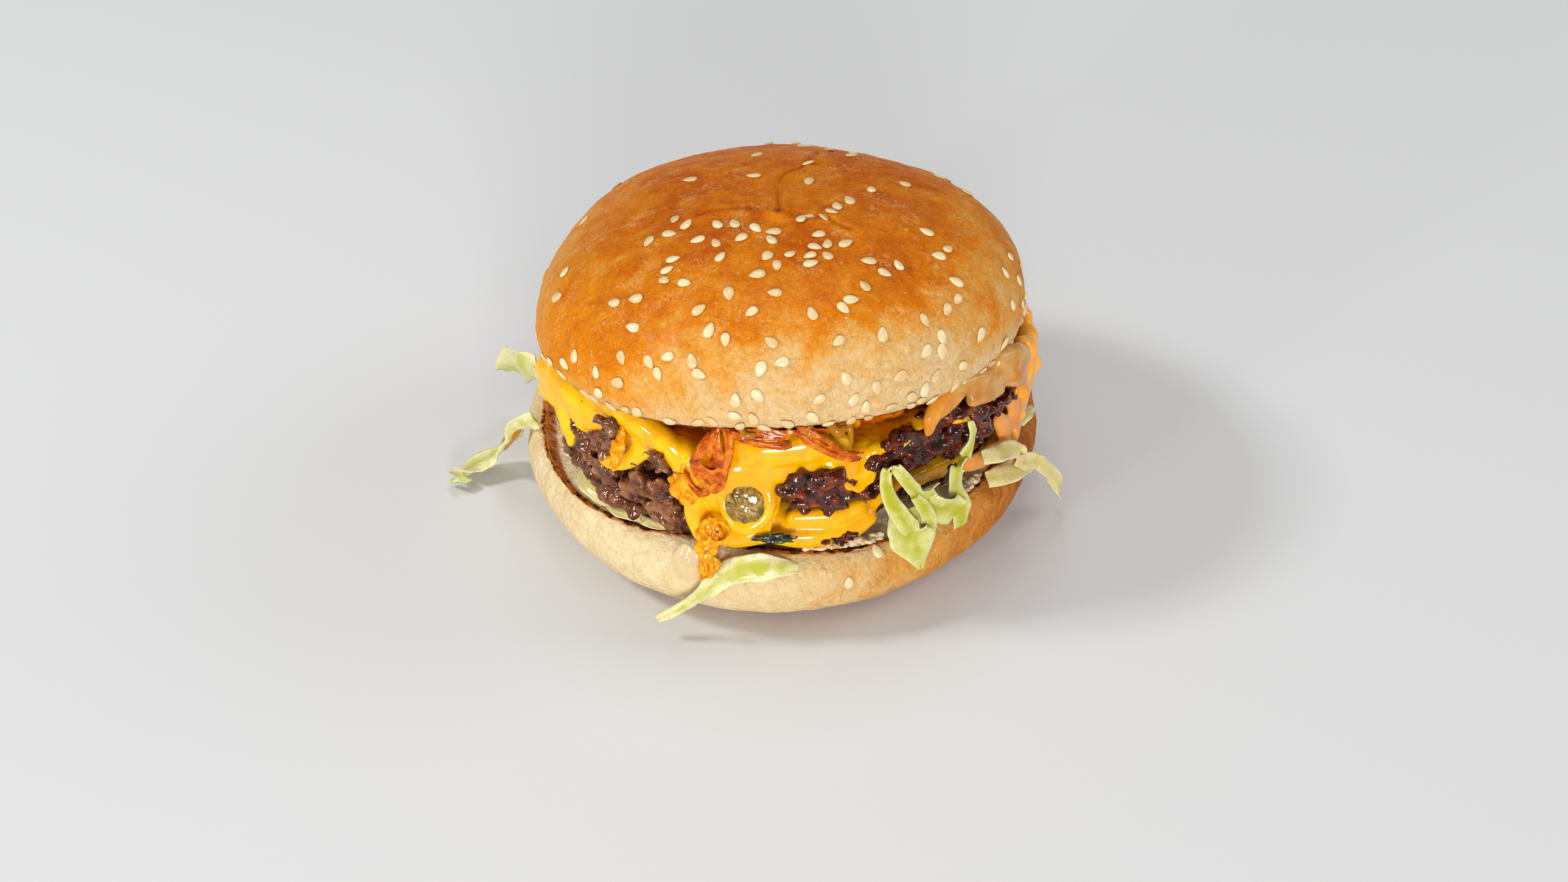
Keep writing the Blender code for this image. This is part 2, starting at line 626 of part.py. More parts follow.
def seed_density(spot):
    """How likely a seed lies there: most in front of the top and few round the back and sides."""
    side = lobe(angle_of(spot.x, spot.y), *SEED_SIDE)
    middle = max(0.0, 1 - math.hypot(spot.x, spot.y) / (0.4 * CROWN_RADIUS))
    return SEED_ELSEWHERE + (1 - SEED_ELSEWHERE) * max(side, 0.5 * middle)


def seed_places():
    """Clumped, seeded draw of seeds: (angle, share, turn, size)."""
    draw = random.Random(SEED_DRAW)
    places = []
    spots = []
    clumps = []
    while len(clumps) < SEED_CLUMPS:
        angle = draw.uniform(-180, 180)
        share = 1.5 * draw.random() ** 0.58
        spot = dome_point(angle, share)
        alone = all((spot - other[2]).length > 5.5 * MM for other in clumps)
        if draw.random() < seed_density(spot) and alone:
            clumps.append((angle, share, spot, draw.choice((1, 1, 2, 2, 3, 3, 4, 5))))
    tries = 0
    while len(places) < SEED_COUNT and tries < 20000:
        tries += 1
        clump = clumps[tries % len(clumps)]
        if clump[3] * 1.25 < tries // len(clumps):
            clump = None
        if clump:
            spread = 3.4 * MM
            shift = Vector((draw.gauss(0, 1), draw.gauss(0, 1), draw.gauss(0, 1))) * spread
            near = clump[2] + shift
            angle = angle_of(near.x, near.y)
            share = clump[1] + draw.gauss(0, 1) * spread / (CROWN_RADIUS * 1.3)
        else:
            angle = draw.uniform(-180, 180)
            share = 1.5 * draw.random() ** 0.6
        if not 0.02 < share < 1.62:
            continue
        spot = dome_point(angle, share)
        if draw.random() > seed_density(spot):
            continue
        if any((spot - other).length < SEED_SPACING for other in spots):
            continue
        spots.append(spot)
        places.append((angle, share, draw.uniform(0, 2 * math.pi), draw.uniform(0.86, 1.1)))
    return places


def add_seed(shape, frame, turn, size):
    """One teardrop seed, partly sunk in the crust."""
    spot, normal, aside = frame
    lengthways = (aside * math.cos(turn) + normal.cross(aside) * math.sin(turn)).normalized()
    sideways = normal.cross(lengthways)
    outline = []
    base = []
    for k in range(SEED_SIDES):
        way = 2 * math.pi * k / SEED_SIDES
        taper = 1 - 0.28 * math.cos(way)
        along_seed = lengthways * math.cos(way) * SEED_LENGTH / 2 * size
        across_seed = sideways * math.sin(way) * taper * SEED_WIDTH / 2 * size * 1.08
        flat = spot + along_seed + across_seed
        outline.append(shape.verts.new(flat + normal * 0.22 * MM))
        base.append(shape.verts.new(spot + (flat - spot) * 0.86 - normal * SEED_SINK))
    tip = shape.verts.new(spot - lengthways * 0.35 * MM + normal * SEED_HEIGHT)
    shape.faces.new(list(reversed(base)))
    for k in range(SEED_SIDES):
        nxt = (k + 1) % SEED_SIDES
        shape.faces.new((base[k], base[nxt], outline[nxt], outline[k]))
        shape.faces.new((outline[k], outline[nxt], tip))


def fuse_seeds(item, frames):
    """One Boolean union of a bun with its seeds, applied."""
    group = bpy.data.collections.new(item.name + "_seeds")
    bpy.context.scene.collection.children.link(group)
    for number, (frame, turn, size) in enumerate(frames):
        shape = bmesh.new()
        add_seed(shape, frame, turn, size)
        bmesh.ops.recalc_face_normals(shape, faces=shape.faces)
        bmesh.ops.triangulate(shape, faces=shape.faces)
        mesh = bpy.data.meshes.new("seed_%03d" % number)
        shape.to_mesh(mesh)
        shape.free()
        group.objects.link(bpy.data.objects.new(mesh.name, mesh))
    joined = item.modifiers.new("seeds", "BOOLEAN")
    joined.operation = "UNION"
    joined.operand_type = "COLLECTION"
    joined.collection = group
    joined.solver = "EXACT"
    baked(item)
    for seed in list(group.objects):
        bpy.data.objects.remove(seed)
    bpy.data.collections.remove(group)
    keep_largest(item)


def top_bun():
    """Domed top bun, tipped back, with its sesame seeds fused on."""
    shares = (0.16, 0.32, 0.46, 0.60, 0.73, 0.86, 1.0, 1.25, 1.55, 2.0)
    count = 44
    rings = [[dome_point(360 * k / count, share) for k in range(count)] for share in shares]
    crown = ring_body("bun_top", rings, "crust")
    fuse_seeds(crown, [(skin_frame(dome_point, angle, share), turn, size)
                       for angle, share, turn, size in seed_places()[:SEEDS_IN_SOLID]])
    crown.location = CROWN_CENTRE
    crown.rotation_euler = CROWN_TILT
    return crown


def folded_leaf():
    """The crumpled leaf at the right front, joined from its three folds."""
    folds = []
    for number, (points, widths, leans, ruffle) in enumerate(FOLDED_LEAF):
        folds.append(ribbon("lettuce_folded_%d" % number, points, widths, leans, ruffle,
                            LEAF_THICKNESS, "lettuce", steps=9, across=3 if number == 0 else 1))
    whole = folds[0]
    for fold in folds[1:]:
        join = whole.modifiers.new("fold", "BOOLEAN")
        join.operation = "UNION"
        join.object = fold
        baked(whole)
        bpy.data.objects.remove(fold)
    keep_largest(whole)
    whole.name = "lettuce_folded"
    return whole


def main():
    for item in list(bpy.data.objects):
        bpy.data.objects.remove(item)
    heel = bottom_bun()
    top_bun()
    lower = patty("patty_lower", PATTY_LOWER_RADIUS, PATTY_LOWER_LOBES)
    upper = patty("patty_upper", PATTY_UPPER_RADIUS, PATTY_UPPER_LOBES, PATTY_UPPER_KNOBS)
    soft_layer("lettuce_bed", *LETTUCE_BED, "lettuce")
    soft_layer("onion_bed", *ONION_BED, "onion")
    strands = [ribbon(name, points, (STRAND_WIDTH / MM,) * 2, (0, 0), 0.0, STRAND_THICKNESS, "onion",
                      steps=9, across=1) for name, points in ONION_STRANDS.items()]
    crisps = [nugget(name, place, size, 0.55, "crispy_onion") for name, (place, size) in CRISPS.items()]
    gherkin = nugget("gherkin_slice", GHERKIN_PLACE, GHERKIN_SIZE, 0.12, "gherkin")
    pepper = ribbon("pepper_strip", PEPPER_PATH, (1.2, PEPPER_WIDTH / MM, 1.2), (-20, -20, -20), 0.1,
                    PEPPER_THICKNESS, "pepper", steps=8, across=2)
    slice_low = cheese("cheese_lower", CHEESE_LOWER_RADIUS, CHEESE_LOWER_LOBES, CHEESE_LOWER_HEM, 0.6 * MM)
    slice_high = cheese("cheese_upper", CHEESE_UPPER_RADIUS, CHEESE_UPPER_LOBES, CHEESE_UPPER_HEM, 0.6 * MM)
    carve(slice_low, [upper, lower, heel])
    carve(slice_high, [upper, lower, slice_low, heel, gherkin] + crisps + strands + [pepper])
    welling = sauce()
    carve(welling, [slice_high, upper, slice_low, heel])
    for name, (points, widths, leans, ruffle) in LETTUCE.items():
        ribbon(name, points, widths, leans, ruffle, LEAF_THICKNESS, "lettuce")
    folded_leaf()


main()
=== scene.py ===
"""Looks of the smash burger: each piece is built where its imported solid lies.

Metres, +Z up. The burger rests on z = 0 and the side that the photograph shows best
faces -Y. Angles are in degrees round the bun's axis, from the front (-Y) towards +X.
"""

import math
import random

import bmesh
import bpy
import numpy as np
from mathutils import Euler, Matrix, Vector, noise
from mathutils.bvhtree import BVHTree


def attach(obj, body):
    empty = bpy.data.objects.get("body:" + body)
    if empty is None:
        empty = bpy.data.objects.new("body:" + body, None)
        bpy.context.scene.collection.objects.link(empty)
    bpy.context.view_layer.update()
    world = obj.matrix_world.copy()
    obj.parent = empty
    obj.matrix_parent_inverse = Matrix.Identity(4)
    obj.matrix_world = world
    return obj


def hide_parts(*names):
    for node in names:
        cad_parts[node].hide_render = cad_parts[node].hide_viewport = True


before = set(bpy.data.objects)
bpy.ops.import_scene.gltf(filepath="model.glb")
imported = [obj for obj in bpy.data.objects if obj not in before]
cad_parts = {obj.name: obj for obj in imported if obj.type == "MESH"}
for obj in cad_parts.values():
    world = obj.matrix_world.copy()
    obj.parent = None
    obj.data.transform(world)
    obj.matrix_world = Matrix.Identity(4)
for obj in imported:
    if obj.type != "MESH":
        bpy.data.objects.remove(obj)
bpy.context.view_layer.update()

MM = 0.001
# Without a seed, noise_vector has other values in each run
noise.seed_set(1)

# Sizes of the burger, the same as those of its solids
LAYER_GAP = 0.5 * MM
HEEL_RADIUS = 63.5 * MM
HEEL_FOOT = 44.6 * MM
HEEL_BULGE_HEIGHT = 15.0 * MM
HEEL_RIM_HEIGHT = 23.0 * MM
HEEL_RIM_RADIUS = 58.3 * MM
HEEL_DISH = 1.2 * MM
HEEL_RIM_LOBES = ((-57, 20, 3.0 * MM), (-16, 15, -3.2 * MM), (24, 15, 1.2 * MM))
HEEL_SIDE_LOBES = ((45, 22, -1.0 * MM), (-25, 20, 0.4 * MM), (100, 20, 0.6 * MM))
HEEL_SEEDS = ((20.5, 1.72, 1.9), (13.5, 1.12, 1.5))

CROWN_RADIUS = 58.4 * MM
CROWN_DOME = 29.1 * MM
CROWN_DOME_POWER = 2.3
CROWN_DROP = 6.8 * MM
CROWN_CUT_RADIUS = 53.4 * MM
CROWN_EDGE_LIFT = (0, 34, 1.6 * MM)
CROWN_CENTRE = Vector((-0.4 * MM, -1.9 * MM, 54.8 * MM))
CROWN_TILT = Euler((math.radians(-9.5), math.radians(-1.5), 0.0))
CROWN_DENTS = ((-95, 0.66, 20 * MM, 3.2 * MM), (-60, 0.80, 13 * MM, 0.8 * MM),
               (8, 0.93, 12 * MM, 0.7 * MM), (150, 0.70, 18 * MM, 0.9 * MM),
               (60, 0.75, 15 * MM, 0.5 * MM))

SEED_LENGTH = 3.4 * MM
SEED_WIDTH = 2.1 * MM
SEED_HEIGHT = 0.62 * MM
SEED_SPACING = 2.7 * MM
SEED_COUNT = 180
SEED_CLUMPS = 72
CLUMP_SPACING = 5.5 * MM
CLUMP_SPREAD = 3.4 * MM
SEED_RAISED = 0.22 * MM
SEED_DRAW = 276
SEED_SIDE = (8, 58)
SEED_ELSEWHERE = 0.16

LAYERS = (("lettuce_bed", 0.035, 0.06), ("patty_lower", 0.235, 0.31),
          ("cheese_lower", 0.04, 0.06), ("patty_upper", 0.35, 0.35),
          ("cheese_upper", 0.10, 0.10), ("onion_bed", 0.24, 0.12))
WEDGE_REACH = 55 * MM
INNER_RADIUS = 47.5 * MM
RIM_LIFTS = {
    2: ((33, 10, 1.5 * MM), (65, 15, -3.0 * MM)),
    3: ((33, 10, 3.0 * MM), (65, 15, -3.0 * MM)),
    4: ((36, 11, 5.0 * MM), (74, 13, -5.5 * MM)),
    5: ((36, 11, 4.0 * MM), (74, 13, -4.0 * MM), (-52, 34, 5.2 * MM), (-125, 40, 1.5 * MM)),
}

PATTY_LOWER_RADIUS = 51.3 * MM
PATTY_LOWER_LOBES = ((-45, 24, 4.4 * MM), (150, 40, 1.5 * MM))
PATTY_UPPER_RADIUS = 52.4 * MM
PATTY_UPPER_LOBES = ((9, 9, 4.6 * MM), (49, 24, 4.8 * MM), (-160, 30, 1.5 * MM))
LUMP_SIZE = 6.5 * MM
LUMP_REACH = 4.2 * MM

CHEESE_SKIN = 2.2 * MM
CHEESE_UPPER_RADIUS = 57.2 * MM
CHEESE_UPPER_LOBES = ((-74, 16, 2.6 * MM), (-13, 9, 1.6 * MM), (88, 24, 1.4 * MM))
CHEESE_UPPER_HEM = ((-180, 30), (-140, 29), (-105, 32), (-84, 33), (-77, 33.5), (-71, 38), (-67, 38),
                    (-62, 33), (-58, 33), (-54.5, 40.5), (-50, 40.5), (-46.5, 44), (-44, 48), (-40, 48.5),
                    (-36.5, 45.5), (-33, 44.5), (-29, 43), (-26, 41.5), (-23.5, 38), (-21.5, 25),
                    (-19.5, 24.3), (-12, 24.2), (-4, 25.4), (-1.5, 33), (1, 44), (4, 46.5), (9, 47),
                    (11.5, 45), (14.5, 40.5), (17, 38.5), (21, 39), (23, 43), (25, 50), (45, 52),
                    (60, 49), (68, 43), (76, 38), (95, 36), (120, 33), (150, 29))
CHEESE_LOWER_RADIUS = 53.4 * MM
CHEESE_LOWER_LOBES = ((10, 18, 3.2 * MM),)
CHEESE_LOWER_HEM = ((-180, 24.8), (-120, 27), (-70, 31.5), (-30, 31.5), (-8, 28), (-1, 25.4),
                    (9, 25), (20, 25.2), (25, 29.5), (32, 31.5), (38, 28.5), (46, 26.5), (60, 26.5),
                    (110, 27), (150, 25.5))

SAUCE_OUTLINE = ((55, 26.5, 30, 58.6), (64, 25.6, 32, 60.0), (74, 27, 38.5, 61.2),
                 (86, 30, 45, 62.6), (97, 28.5, 45.5, 62.0), (108, 29, 42, 61.0), (118, 32, 38, 59))
SAUCE_SKIN = 6.5 * MM

LETTUCE_BED = (53.0 * MM, 5.0 * MM, ((12, 22, -5.0 * MM),))
ONION_BED = (51.0 * MM, 2.5 * MM, ())
STRAND_WIDTH = 2.6 * MM
STRAND_THICKNESS = 1.1 * MM
GHERKIN_PLACE = (-8.3, 58.0, 38.8)
GHERKIN_SIZE = (4.4 * MM, 5.4 * MM, 1.6 * MM)
PEPPER_PATH = ((-7.6, 60.6, 29.6), (-4.6, 60.4, 28.9), (-1.6, 59.8, 29.2), (0.8, 59.0, 30.0))
LEAF_THICKNESS = 0.7 * MM

# Shapes shared with the solids


def polar(angle, radius, height=0.0):
    """A point round the bun's axis, from an angle in degrees, a radius and a height."""
    turn = math.radians(angle)
    return Vector((radius * math.sin(turn), -radius * math.cos(turn), height))


def angle_of(x, y):
    return math.degrees(math.atan2(x, -y))


def lobe(angle, centre, half_width):
    """A smooth bump of height 1 round an angle."""
    away = (angle - centre + 180) % 360 - 180
    return math.exp(-(away / half_width) ** 2)


def lobed(angle, base, lobes):
    return base + sum(reach * lobe(angle, centre, width) for centre, width, reach in lobes)


def step_up(value, low, high):
    """0 below low, 1 above high and smooth between them."""
    share = min(max((value - low) / (high - low), 0.0), 1.0)
    return share * share * (3 - 2 * share)


def along(table, angle, column=1):
    """Smooth value of a table of rows that start with an angle, all the way round."""
    rows = list(table) + [(table[0][0] + 360,) + tuple(table[0][1:])]
    angle = (angle - rows[0][0]) % 360 + rows[0][0]
    for low, high in zip(rows, rows[1:]):
        if low[0] <= angle <= high[0]:
            share = step_up(angle, low[0], high[0])
            return low[column] + (high[column] - low[column]) * share
    return rows[-1][column]


def heel_rim_radius(angle):
    return lobed(angle, HEEL_RIM_RADIUS, HEEL_RIM_LOBES)


def heel_point(angle, share):
    """A point of the bottom bun's side: share 0 at the foot, 1 at the widest circle, 2 at the rim."""
    bulge = lobed(angle, HEEL_RADIUS, HEEL_SIDE_LOBES) + 0.7 * MM * noise.noise(polar(angle, 1.3, 2.0))
    rim = heel_rim_radius(angle)
    turn = math.radians(90 * (share % 1 if share < 2 else 1))
    if share < 1:
        return polar(angle, HEEL_FOOT + (bulge - HEEL_FOOT) * math.sin(turn),
                     HEEL_BULGE_HEIGHT * (1 - math.cos(turn)))
    return polar(angle, rim + (bulge - rim) * math.cos(turn),
                 HEEL_BULGE_HEIGHT + (HEEL_RIM_HEIGHT - HEEL_BULGE_HEIGHT) * math.sin(turn))


def roof_height(x, y):
    """Cut face of the tipped top bun."""
    up = CROWN_TILT.to_matrix() @ Vector((0, 0, 1))
    foot = CROWN_CENTRE - up * CROWN_DROP
    return foot.z - (up.x * (x - foot.x) + up.y * (y - foot.y)) / up.z


def boundary(level, x, y):
    """Height of the face between two layers of the filling."""
    back = min(max((y + WEDGE_REACH) / (2 * WEDGE_REACH), 0), 1)
    share = sum(front + (rear - front) * back for _, front, rear in LAYERS[:level])
    low = HEEL_RIM_HEIGHT - HEEL_DISH
    reach = min(math.hypot(x, y) / WEDGE_REACH, 1.05) ** 6
    lift = sum(height * lobe(angle_of(x, y), centre, width)
               for centre, width, height in RIM_LIFTS.get(level, ()))
    height = low + (roof_height(x, y) - low) * share + lift * reach
    return min(height, roof_height(x, y))


def level_of(name):
    return [row[0] for row in LAYERS].index(name)


def lumps(spot, size, reach):
    """Rounded, irregular lumps such as minced meat has."""
    fine = noise.noise(spot / size)
    coarse = noise.noise(spot / (2.3 * size) + Vector((5, 1, 3)))
    return reach * (0.75 * fine + 0.8 * coarse)


def spline(points, count):
    """Evenly stepped points along a smooth curve through control points."""
    ends = [points[0] * 2 - points[1]] + list(points) + [points[-1] * 2 - points[-2]]
    made = []
    for step in range(count):
        place = (len(points) - 1) * step / (count - 1)
        k = min(int(place), len(points) - 2)
        t = place - k
        a, b, c, d = ends[k:k + 4]
        made.append(0.5 * (2 * b + (c - a) * t + (2 * a - 5 * b + 4 * c - d) * t * t
                           + (3 * b - a - 3 * c + d) * t ** 3))
    return made


def blend(values, place):
    """Linear value between a row of numbers, place from 0 to 1."""
    spot = place * (len(values) - 1)
    k = min(int(spot), len(values) - 2)
    return values[k] + (values[k + 1] - values[k]) * (spot - k)


def dome_point(angle, share):
    """A point of the top bun's skin in its own frame.

    Share 0 is the top, 1 where the bun is widest and 2 the cut.
    """
    if share <= 1:
        turn = math.radians(90 * share)
        out = CROWN_RADIUS * math.sin(turn) ** (2 / CROWN_DOME_POWER)
        up = CROWN_DOME * max(math.cos(turn), 0.0) ** (2 / CROWN_DOME_POWER)
    else:
        turn = math.radians(90 * (share - 1))
        out = CROWN_CUT_RADIUS + (CROWN_RADIUS - CROWN_CUT_RADIUS) * math.cos(turn)
        centre, width, height = CROWN_EDGE_LIFT
        up = -(CROWN_DROP - height * lobe(angle, centre, width)) * math.sin(turn)
    spot = polar(angle, out, up)
    for dent_angle, height_share, dent_radius, depth in CROWN_DENTS:
        dent_turn = math.acos(height_share ** (CROWN_DOME_POWER / 2))
        dent_spot = polar(dent_angle, CROWN_RADIUS * math.sin(dent_turn) ** (2 / CROWN_DOME_POWER),
                          CROWN_DOME * height_share)
        away = (spot - dent_spot).length / dent_radius
        spot -= spot.normalized() * depth * math.exp(-away * away)
    soft = noise.noise(spot / (22 * MM) + Vector((3, 8, 1)))
    fade = min(1.0, 2.2 - share) if share > 1.2 else 1.0
    return spot + spot.normalized() * soft * 0.8 * MM * fade


def skin_frame(skin_point, angle, share):
    """A point of a bun's skin with its outward normal and the direction round the bun."""
    spot = skin_point(angle, share)
    aside = skin_point(angle + 1.5, share) - skin_point(angle - 1.5, share)
    down = skin_point(angle, share + 0.02) - skin_point(angle, share - 0.02)
    normal = down.cross(aside).normalized()
    if normal.dot(spot) < 0:
        normal.negate()
    return spot, normal, aside.normalized()


def seed_density(spot):
    """How likely a seed lies there: most in front of the top and few round the back and sides."""
    side = lobe(angle_of(spot.x, spot.y), *SEED_SIDE)
    middle = max(0.0, 1 - math.hypot(spot.x, spot.y) / (0.4 * CROWN_RADIUS))
    return SEED_ELSEWHERE + (1 - SEED_ELSEWHERE) * max(side, 0.5 * middle)


def seed_places():
    """Clumped, seeded draw of seeds: (angle, share, turn, size)."""
    draw = random.Random(SEED_DRAW)
    places = []
    spots = []
    clumps = []
    while len(clumps) < SEED_CLUMPS:
        angle = draw.uniform(-180, 180)
        share = 1.5 * draw.random() ** 0.58
        spot = dome_point(angle, share)
        apart = all((spot - other[2]).length > CLUMP_SPACING for other in clumps)
        if draw.random() < seed_density(spot) and apart:
            clumps.append((angle, share, spot, draw.choice((1, 1, 2, 2, 3, 3, 4, 5))))
    tries = 0
    while len(places) < SEED_COUNT and tries < 20000:
        tries += 1
        clump = clumps[tries % len(clumps)]
        if clump[3] * 1.25 < tries // len(clumps):
            clump = None
        if clump:
            shift = Vector((draw.gauss(0, 1), draw.gauss(0, 1), draw.gauss(0, 1))) * CLUMP_SPREAD
            near = clump[2] + shift
            angle = angle_of(near.x, near.y)
            share = clump[1] + draw.gauss(0, 1) * CLUMP_SPREAD / (CROWN_RADIUS * 1.3)
        else:
            angle = draw.uniform(-180, 180)
            share = 1.5 * draw.random() ** 0.6
        if not 0.02 < share < 1.62:
            continue
        spot = dome_point(angle, share)
        if draw.random() > seed_density(spot):
            continue
        if any((spot - other).length < SEED_SPACING for other in spots):
            continue
        spots.append(spot)
        places.append((angle, share, draw.uniform(0, 2 * math.pi), draw.uniform(0.86, 1.1)))
    return places


# Node graphs written as Python expressions


class Value:
    """An output of a node; Python's operators on it add Math nodes."""

    def __init__(self, graph, socket):
        self.graph = graph
        self.socket = socket

    def maths(self, operation, *terms):
        return self.graph.node("ShaderNodeMath", {"operation": operation}, dict(enumerate(terms)))

    def __add__(self, other):
        return self.maths("ADD", self, other)

    def __radd__(self, other):
        return self.maths("ADD", other, self)

    def __sub__(self, other):
        return self.maths("SUBTRACT", self, other)

    def __rsub__(self, other):
        return self.maths("SUBTRACT", other, self)

    def __mul__(self, other):
        return self.maths("MULTIPLY", self, other)

    def __rmul__(self, other):
        return self.maths("MULTIPLY", other, self)

    def __rtruediv__(self, other):
        return self.maths("DIVIDE", other, self)

    def __abs__(self):
        return self.maths("ABSOLUTE", self)

    def under(self, edge):
        return self.maths("LESS_THAN", self, edge)

    def rising(self, low, high):
        """0 below low, 1 above high and smooth between them."""
        return self.graph.node("ShaderNodeMapRange", {"interpolation_type": "SMOOTHSTEP"},
                               {"Value": self, "From Min": low, "From Max": high})

    def output(self, name):
        """Another output of the same node."""
        return Value(self.graph, self.socket.node.outputs[name])


class Graph:
    """Adds nodes to a node tree."""

    def __init__(self, tree):
        self.tree = tree
        tree.nodes.clear()

    def node(self, kind, settings=None, sockets=None, out=0):
        made = self.tree.nodes.new(kind)
        for name, value in (settings or {}).items():
            if name == "stops":
                ramp = made.color_ramp
                while len(ramp.elements) < len(value):
                    ramp.elements.new(0.5)
                for element, (place, colour) in zip(ramp.elements, value):
                    element.position = place
                    element.color = colour
            else:
                setattr(made, name, value)
        for key, value in (sockets or {}).items():
            if isinstance(value, Value):
                self.tree.links.new(value.socket, made.inputs[key])
            elif value is not None:
                made.inputs[key].default_value = value
        return Value(self, made.outputs[out]) if len(made.outputs) else None


class Finish(Graph):
    """A material whose patterns lie in the burger's own space."""

    def __init__(self, name):
        self.material = bpy.data.materials.new(name)
        self.material.use_nodes = True
        super().__init__(self.material.node_tree)
        self.place = self.node("ShaderNodeTexCoord", out="Object")

    def mottle(self, size, detail=2.0, rough=0.5, warp=0.0, stretch=None):
        """Soft noise of about 0 to 1, with patches of the given size."""
        place = self.place
        if stretch:
            place = self.node("ShaderNodeMapping", {}, {"Vector": place, "Scale": stretch})
        return self.node("ShaderNodeTexNoise", {}, {"Vector": place, "Scale": 1 / size, "Detail": detail,
                                                    "Roughness": rough, "Distortion": warp})

    def specks(self, size, spacing, share):
        """1 on small spots of the given size, scattered a spacing apart, in a share of the cells."""
        cell = self.node("ShaderNodeTexVoronoi", {}, {"Vector": self.place, "Scale": 1 / spacing})
        chosen = self.node("ShaderNodeSeparateColor", {}, {0: cell.output("Color")}).under(share)
        return (1 - cell.rising(size / spacing * 0.35, size / spacing * 0.6)) * chosen

    def painted(self, name):
        """The piece's own attribute."""
        return self.node("ShaderNodeAttribute", {"attribute_name": name}, out="Fac")

    def mix(self, share, first, second):
        return self.node("ShaderNodeMix", {"data_type": "RGBA"},
                         {0: share, 6: first, 7: second}, out=2)

    def ramp(self, value, *stops):
        return self.node("ShaderNodeValToRGB", {"stops": stops}, {0: value})

    def surface(self, colour, roughness, bumps=(), **constants):
        """The shader itself; bumps are (height, strength, distance), coarse ones first."""
        normal = None
        for height, strength, distance in bumps:
            normal = self.node("ShaderNodeBump", {}, {"Strength": strength, "Distance": distance,
                                                      "Height": height, "Normal": normal})
        sockets = {"Base Color": colour, "Roughness": roughness, "Normal": normal}
        sockets.update({name.replace("_", " "): value for name, value in constants.items()})
        shader = self.node("ShaderNodeBsdfPrincipled", {"subsurface_method": "RANDOM_WALK"}, sockets)
        self.node("ShaderNodeOutputMaterial", {}, {"Surface": shader})
        return self.material


class Tree(Graph):
    """A geometry tree with named inputs, the last of them the piece's finish."""

    def __init__(self, name, inputs):
        tree = bpy.data.node_groups.new(name, "GeometryNodeTree")
        tree.interface.new_socket("Geometry", in_out="OUTPUT", socket_type="NodeSocketGeometry")
        for title, kind in (*inputs, ("Finish", "Material")):
            tree.interface.new_socket(title, in_out="INPUT", socket_type="NodeSocket" + kind)
        super().__init__(tree)
        self.given = self.node("NodeGroupInput")

    def closed(self, geometry):
        """The tree with its end: real meshes, shaded smooth, with the finish on them."""
        real = self.node("GeometryNodeRealizeInstances", {}, {"Geometry": geometry})
        smooth = self.node("GeometryNodeSetShadeSmooth", {}, {"Geometry": real})
        dressed = self.node("GeometryNodeSetMaterial", {},
                            {"Geometry": smooth, "Material": self.given.output("Finish")})
        self.node("NodeGroupOutput", {}, {0: dressed})
        return self.tree


def tone(red, green, blue):
    """A colour given as it looks on a screen, 0 to 255."""
    linear = [part / 255 / 12.92 if part <= 10 else ((part / 255 + 0.055) / 1.055) ** 2.4
              for part in (red, green, blue)]
    return (*linear, 1.0)


# Meshes

# Cells in which the meat and the cheese run together, and how often their skin is smoothed
MEAT_CELL = 0.42 * MM
CHEESE_CELL = 0.5 * MM
SKIN_SMOOTHED = 12
# Middle of the patties and the cheese that nothing shows, and the share of faces that they keep
HIDDEN_RADIUS = 46 * MM
THINNED_SHARE = 0.6


def closed_rings(name, rings, shades=None):
    """A closed mesh from rings of equal count, shut by a point at each end.

    Shades are attributes by name: one value for each point of the rings.
    """
    rings = np.asarray(rings, dtype=float)
    rows, count = rings.shape[:2]
    points = np.concatenate([rings.reshape(-1, 3), rings[:1].mean(axis=1), rings[-1:].mean(axis=1)])
    here = np.arange(count)
    ahead = (here + 1) % count
    start = (np.arange(rows - 1) * count)[:, None]
    quads = np.stack([start + here, start + ahead, start + count + ahead, start + count + here], axis=-1)
    top = (rows - 1) * count
    faces = quads.reshape(-1, 4).tolist()
    faces += [(int(b), int(a), rows * count) for a, b in zip(here, ahead)]
    faces += [(int(top + a), int(top + b), rows * count + 1) for a, b in zip(here, ahead)]
    mesh = bpy.data.meshes.new(name)
    mesh.from_pydata(points.tolist(), [], faces)
    for shade, values in (shades or {}).items():
        values = np.asarray(values, dtype=float)
        both = np.concatenate([values.reshape(-1), values[:1].mean(axis=1), values[-1:].mean(axis=1)])
        mesh.attributes.new(shade, "FLOAT", "POINT").data.foreach_set("value", both.astype(np.float32))
    return outward(mesh)


def outward(mesh):
    """Turn all faces outwards and shade the mesh smooth."""
    shape = bmesh.new()
    shape.from_mesh(mesh)
    if shape.calc_volume(signed=True) < 0:
        bmesh.ops.reverse_faces(shape, faces=shape.faces)
    shape.to_mesh(mesh)
    shape.free()
    mesh.shade_smooth()
    return mesh


def joined(name, meshes):
    """One mesh out of several, with the attributes that the first one has."""
    points = []
    faces = []
    shades = {layer.name: [] for layer in meshes[0].attributes if layer.data_type == "FLOAT"}
    for mesh in meshes:
        first = len(points)
        points += [tuple(vert.co) for vert in mesh.vertices]
        faces += [[first + k for k in face.vertices] for face in mesh.polygons]
        for shade, values in shades.items():
            layer = mesh.attributes.get(shade)
            values += [item.value for item in layer.data] if layer else [0.0] * len(mesh.vertices)
    made = bpy.data.meshes.new(name)
    made.from_pydata(points, [], faces)
    for shade, values in shades.items():
        made.attributes.new(shade, "FLOAT", "POINT").data.foreach_set("value", values)
    made.shade_smooth()
    return made


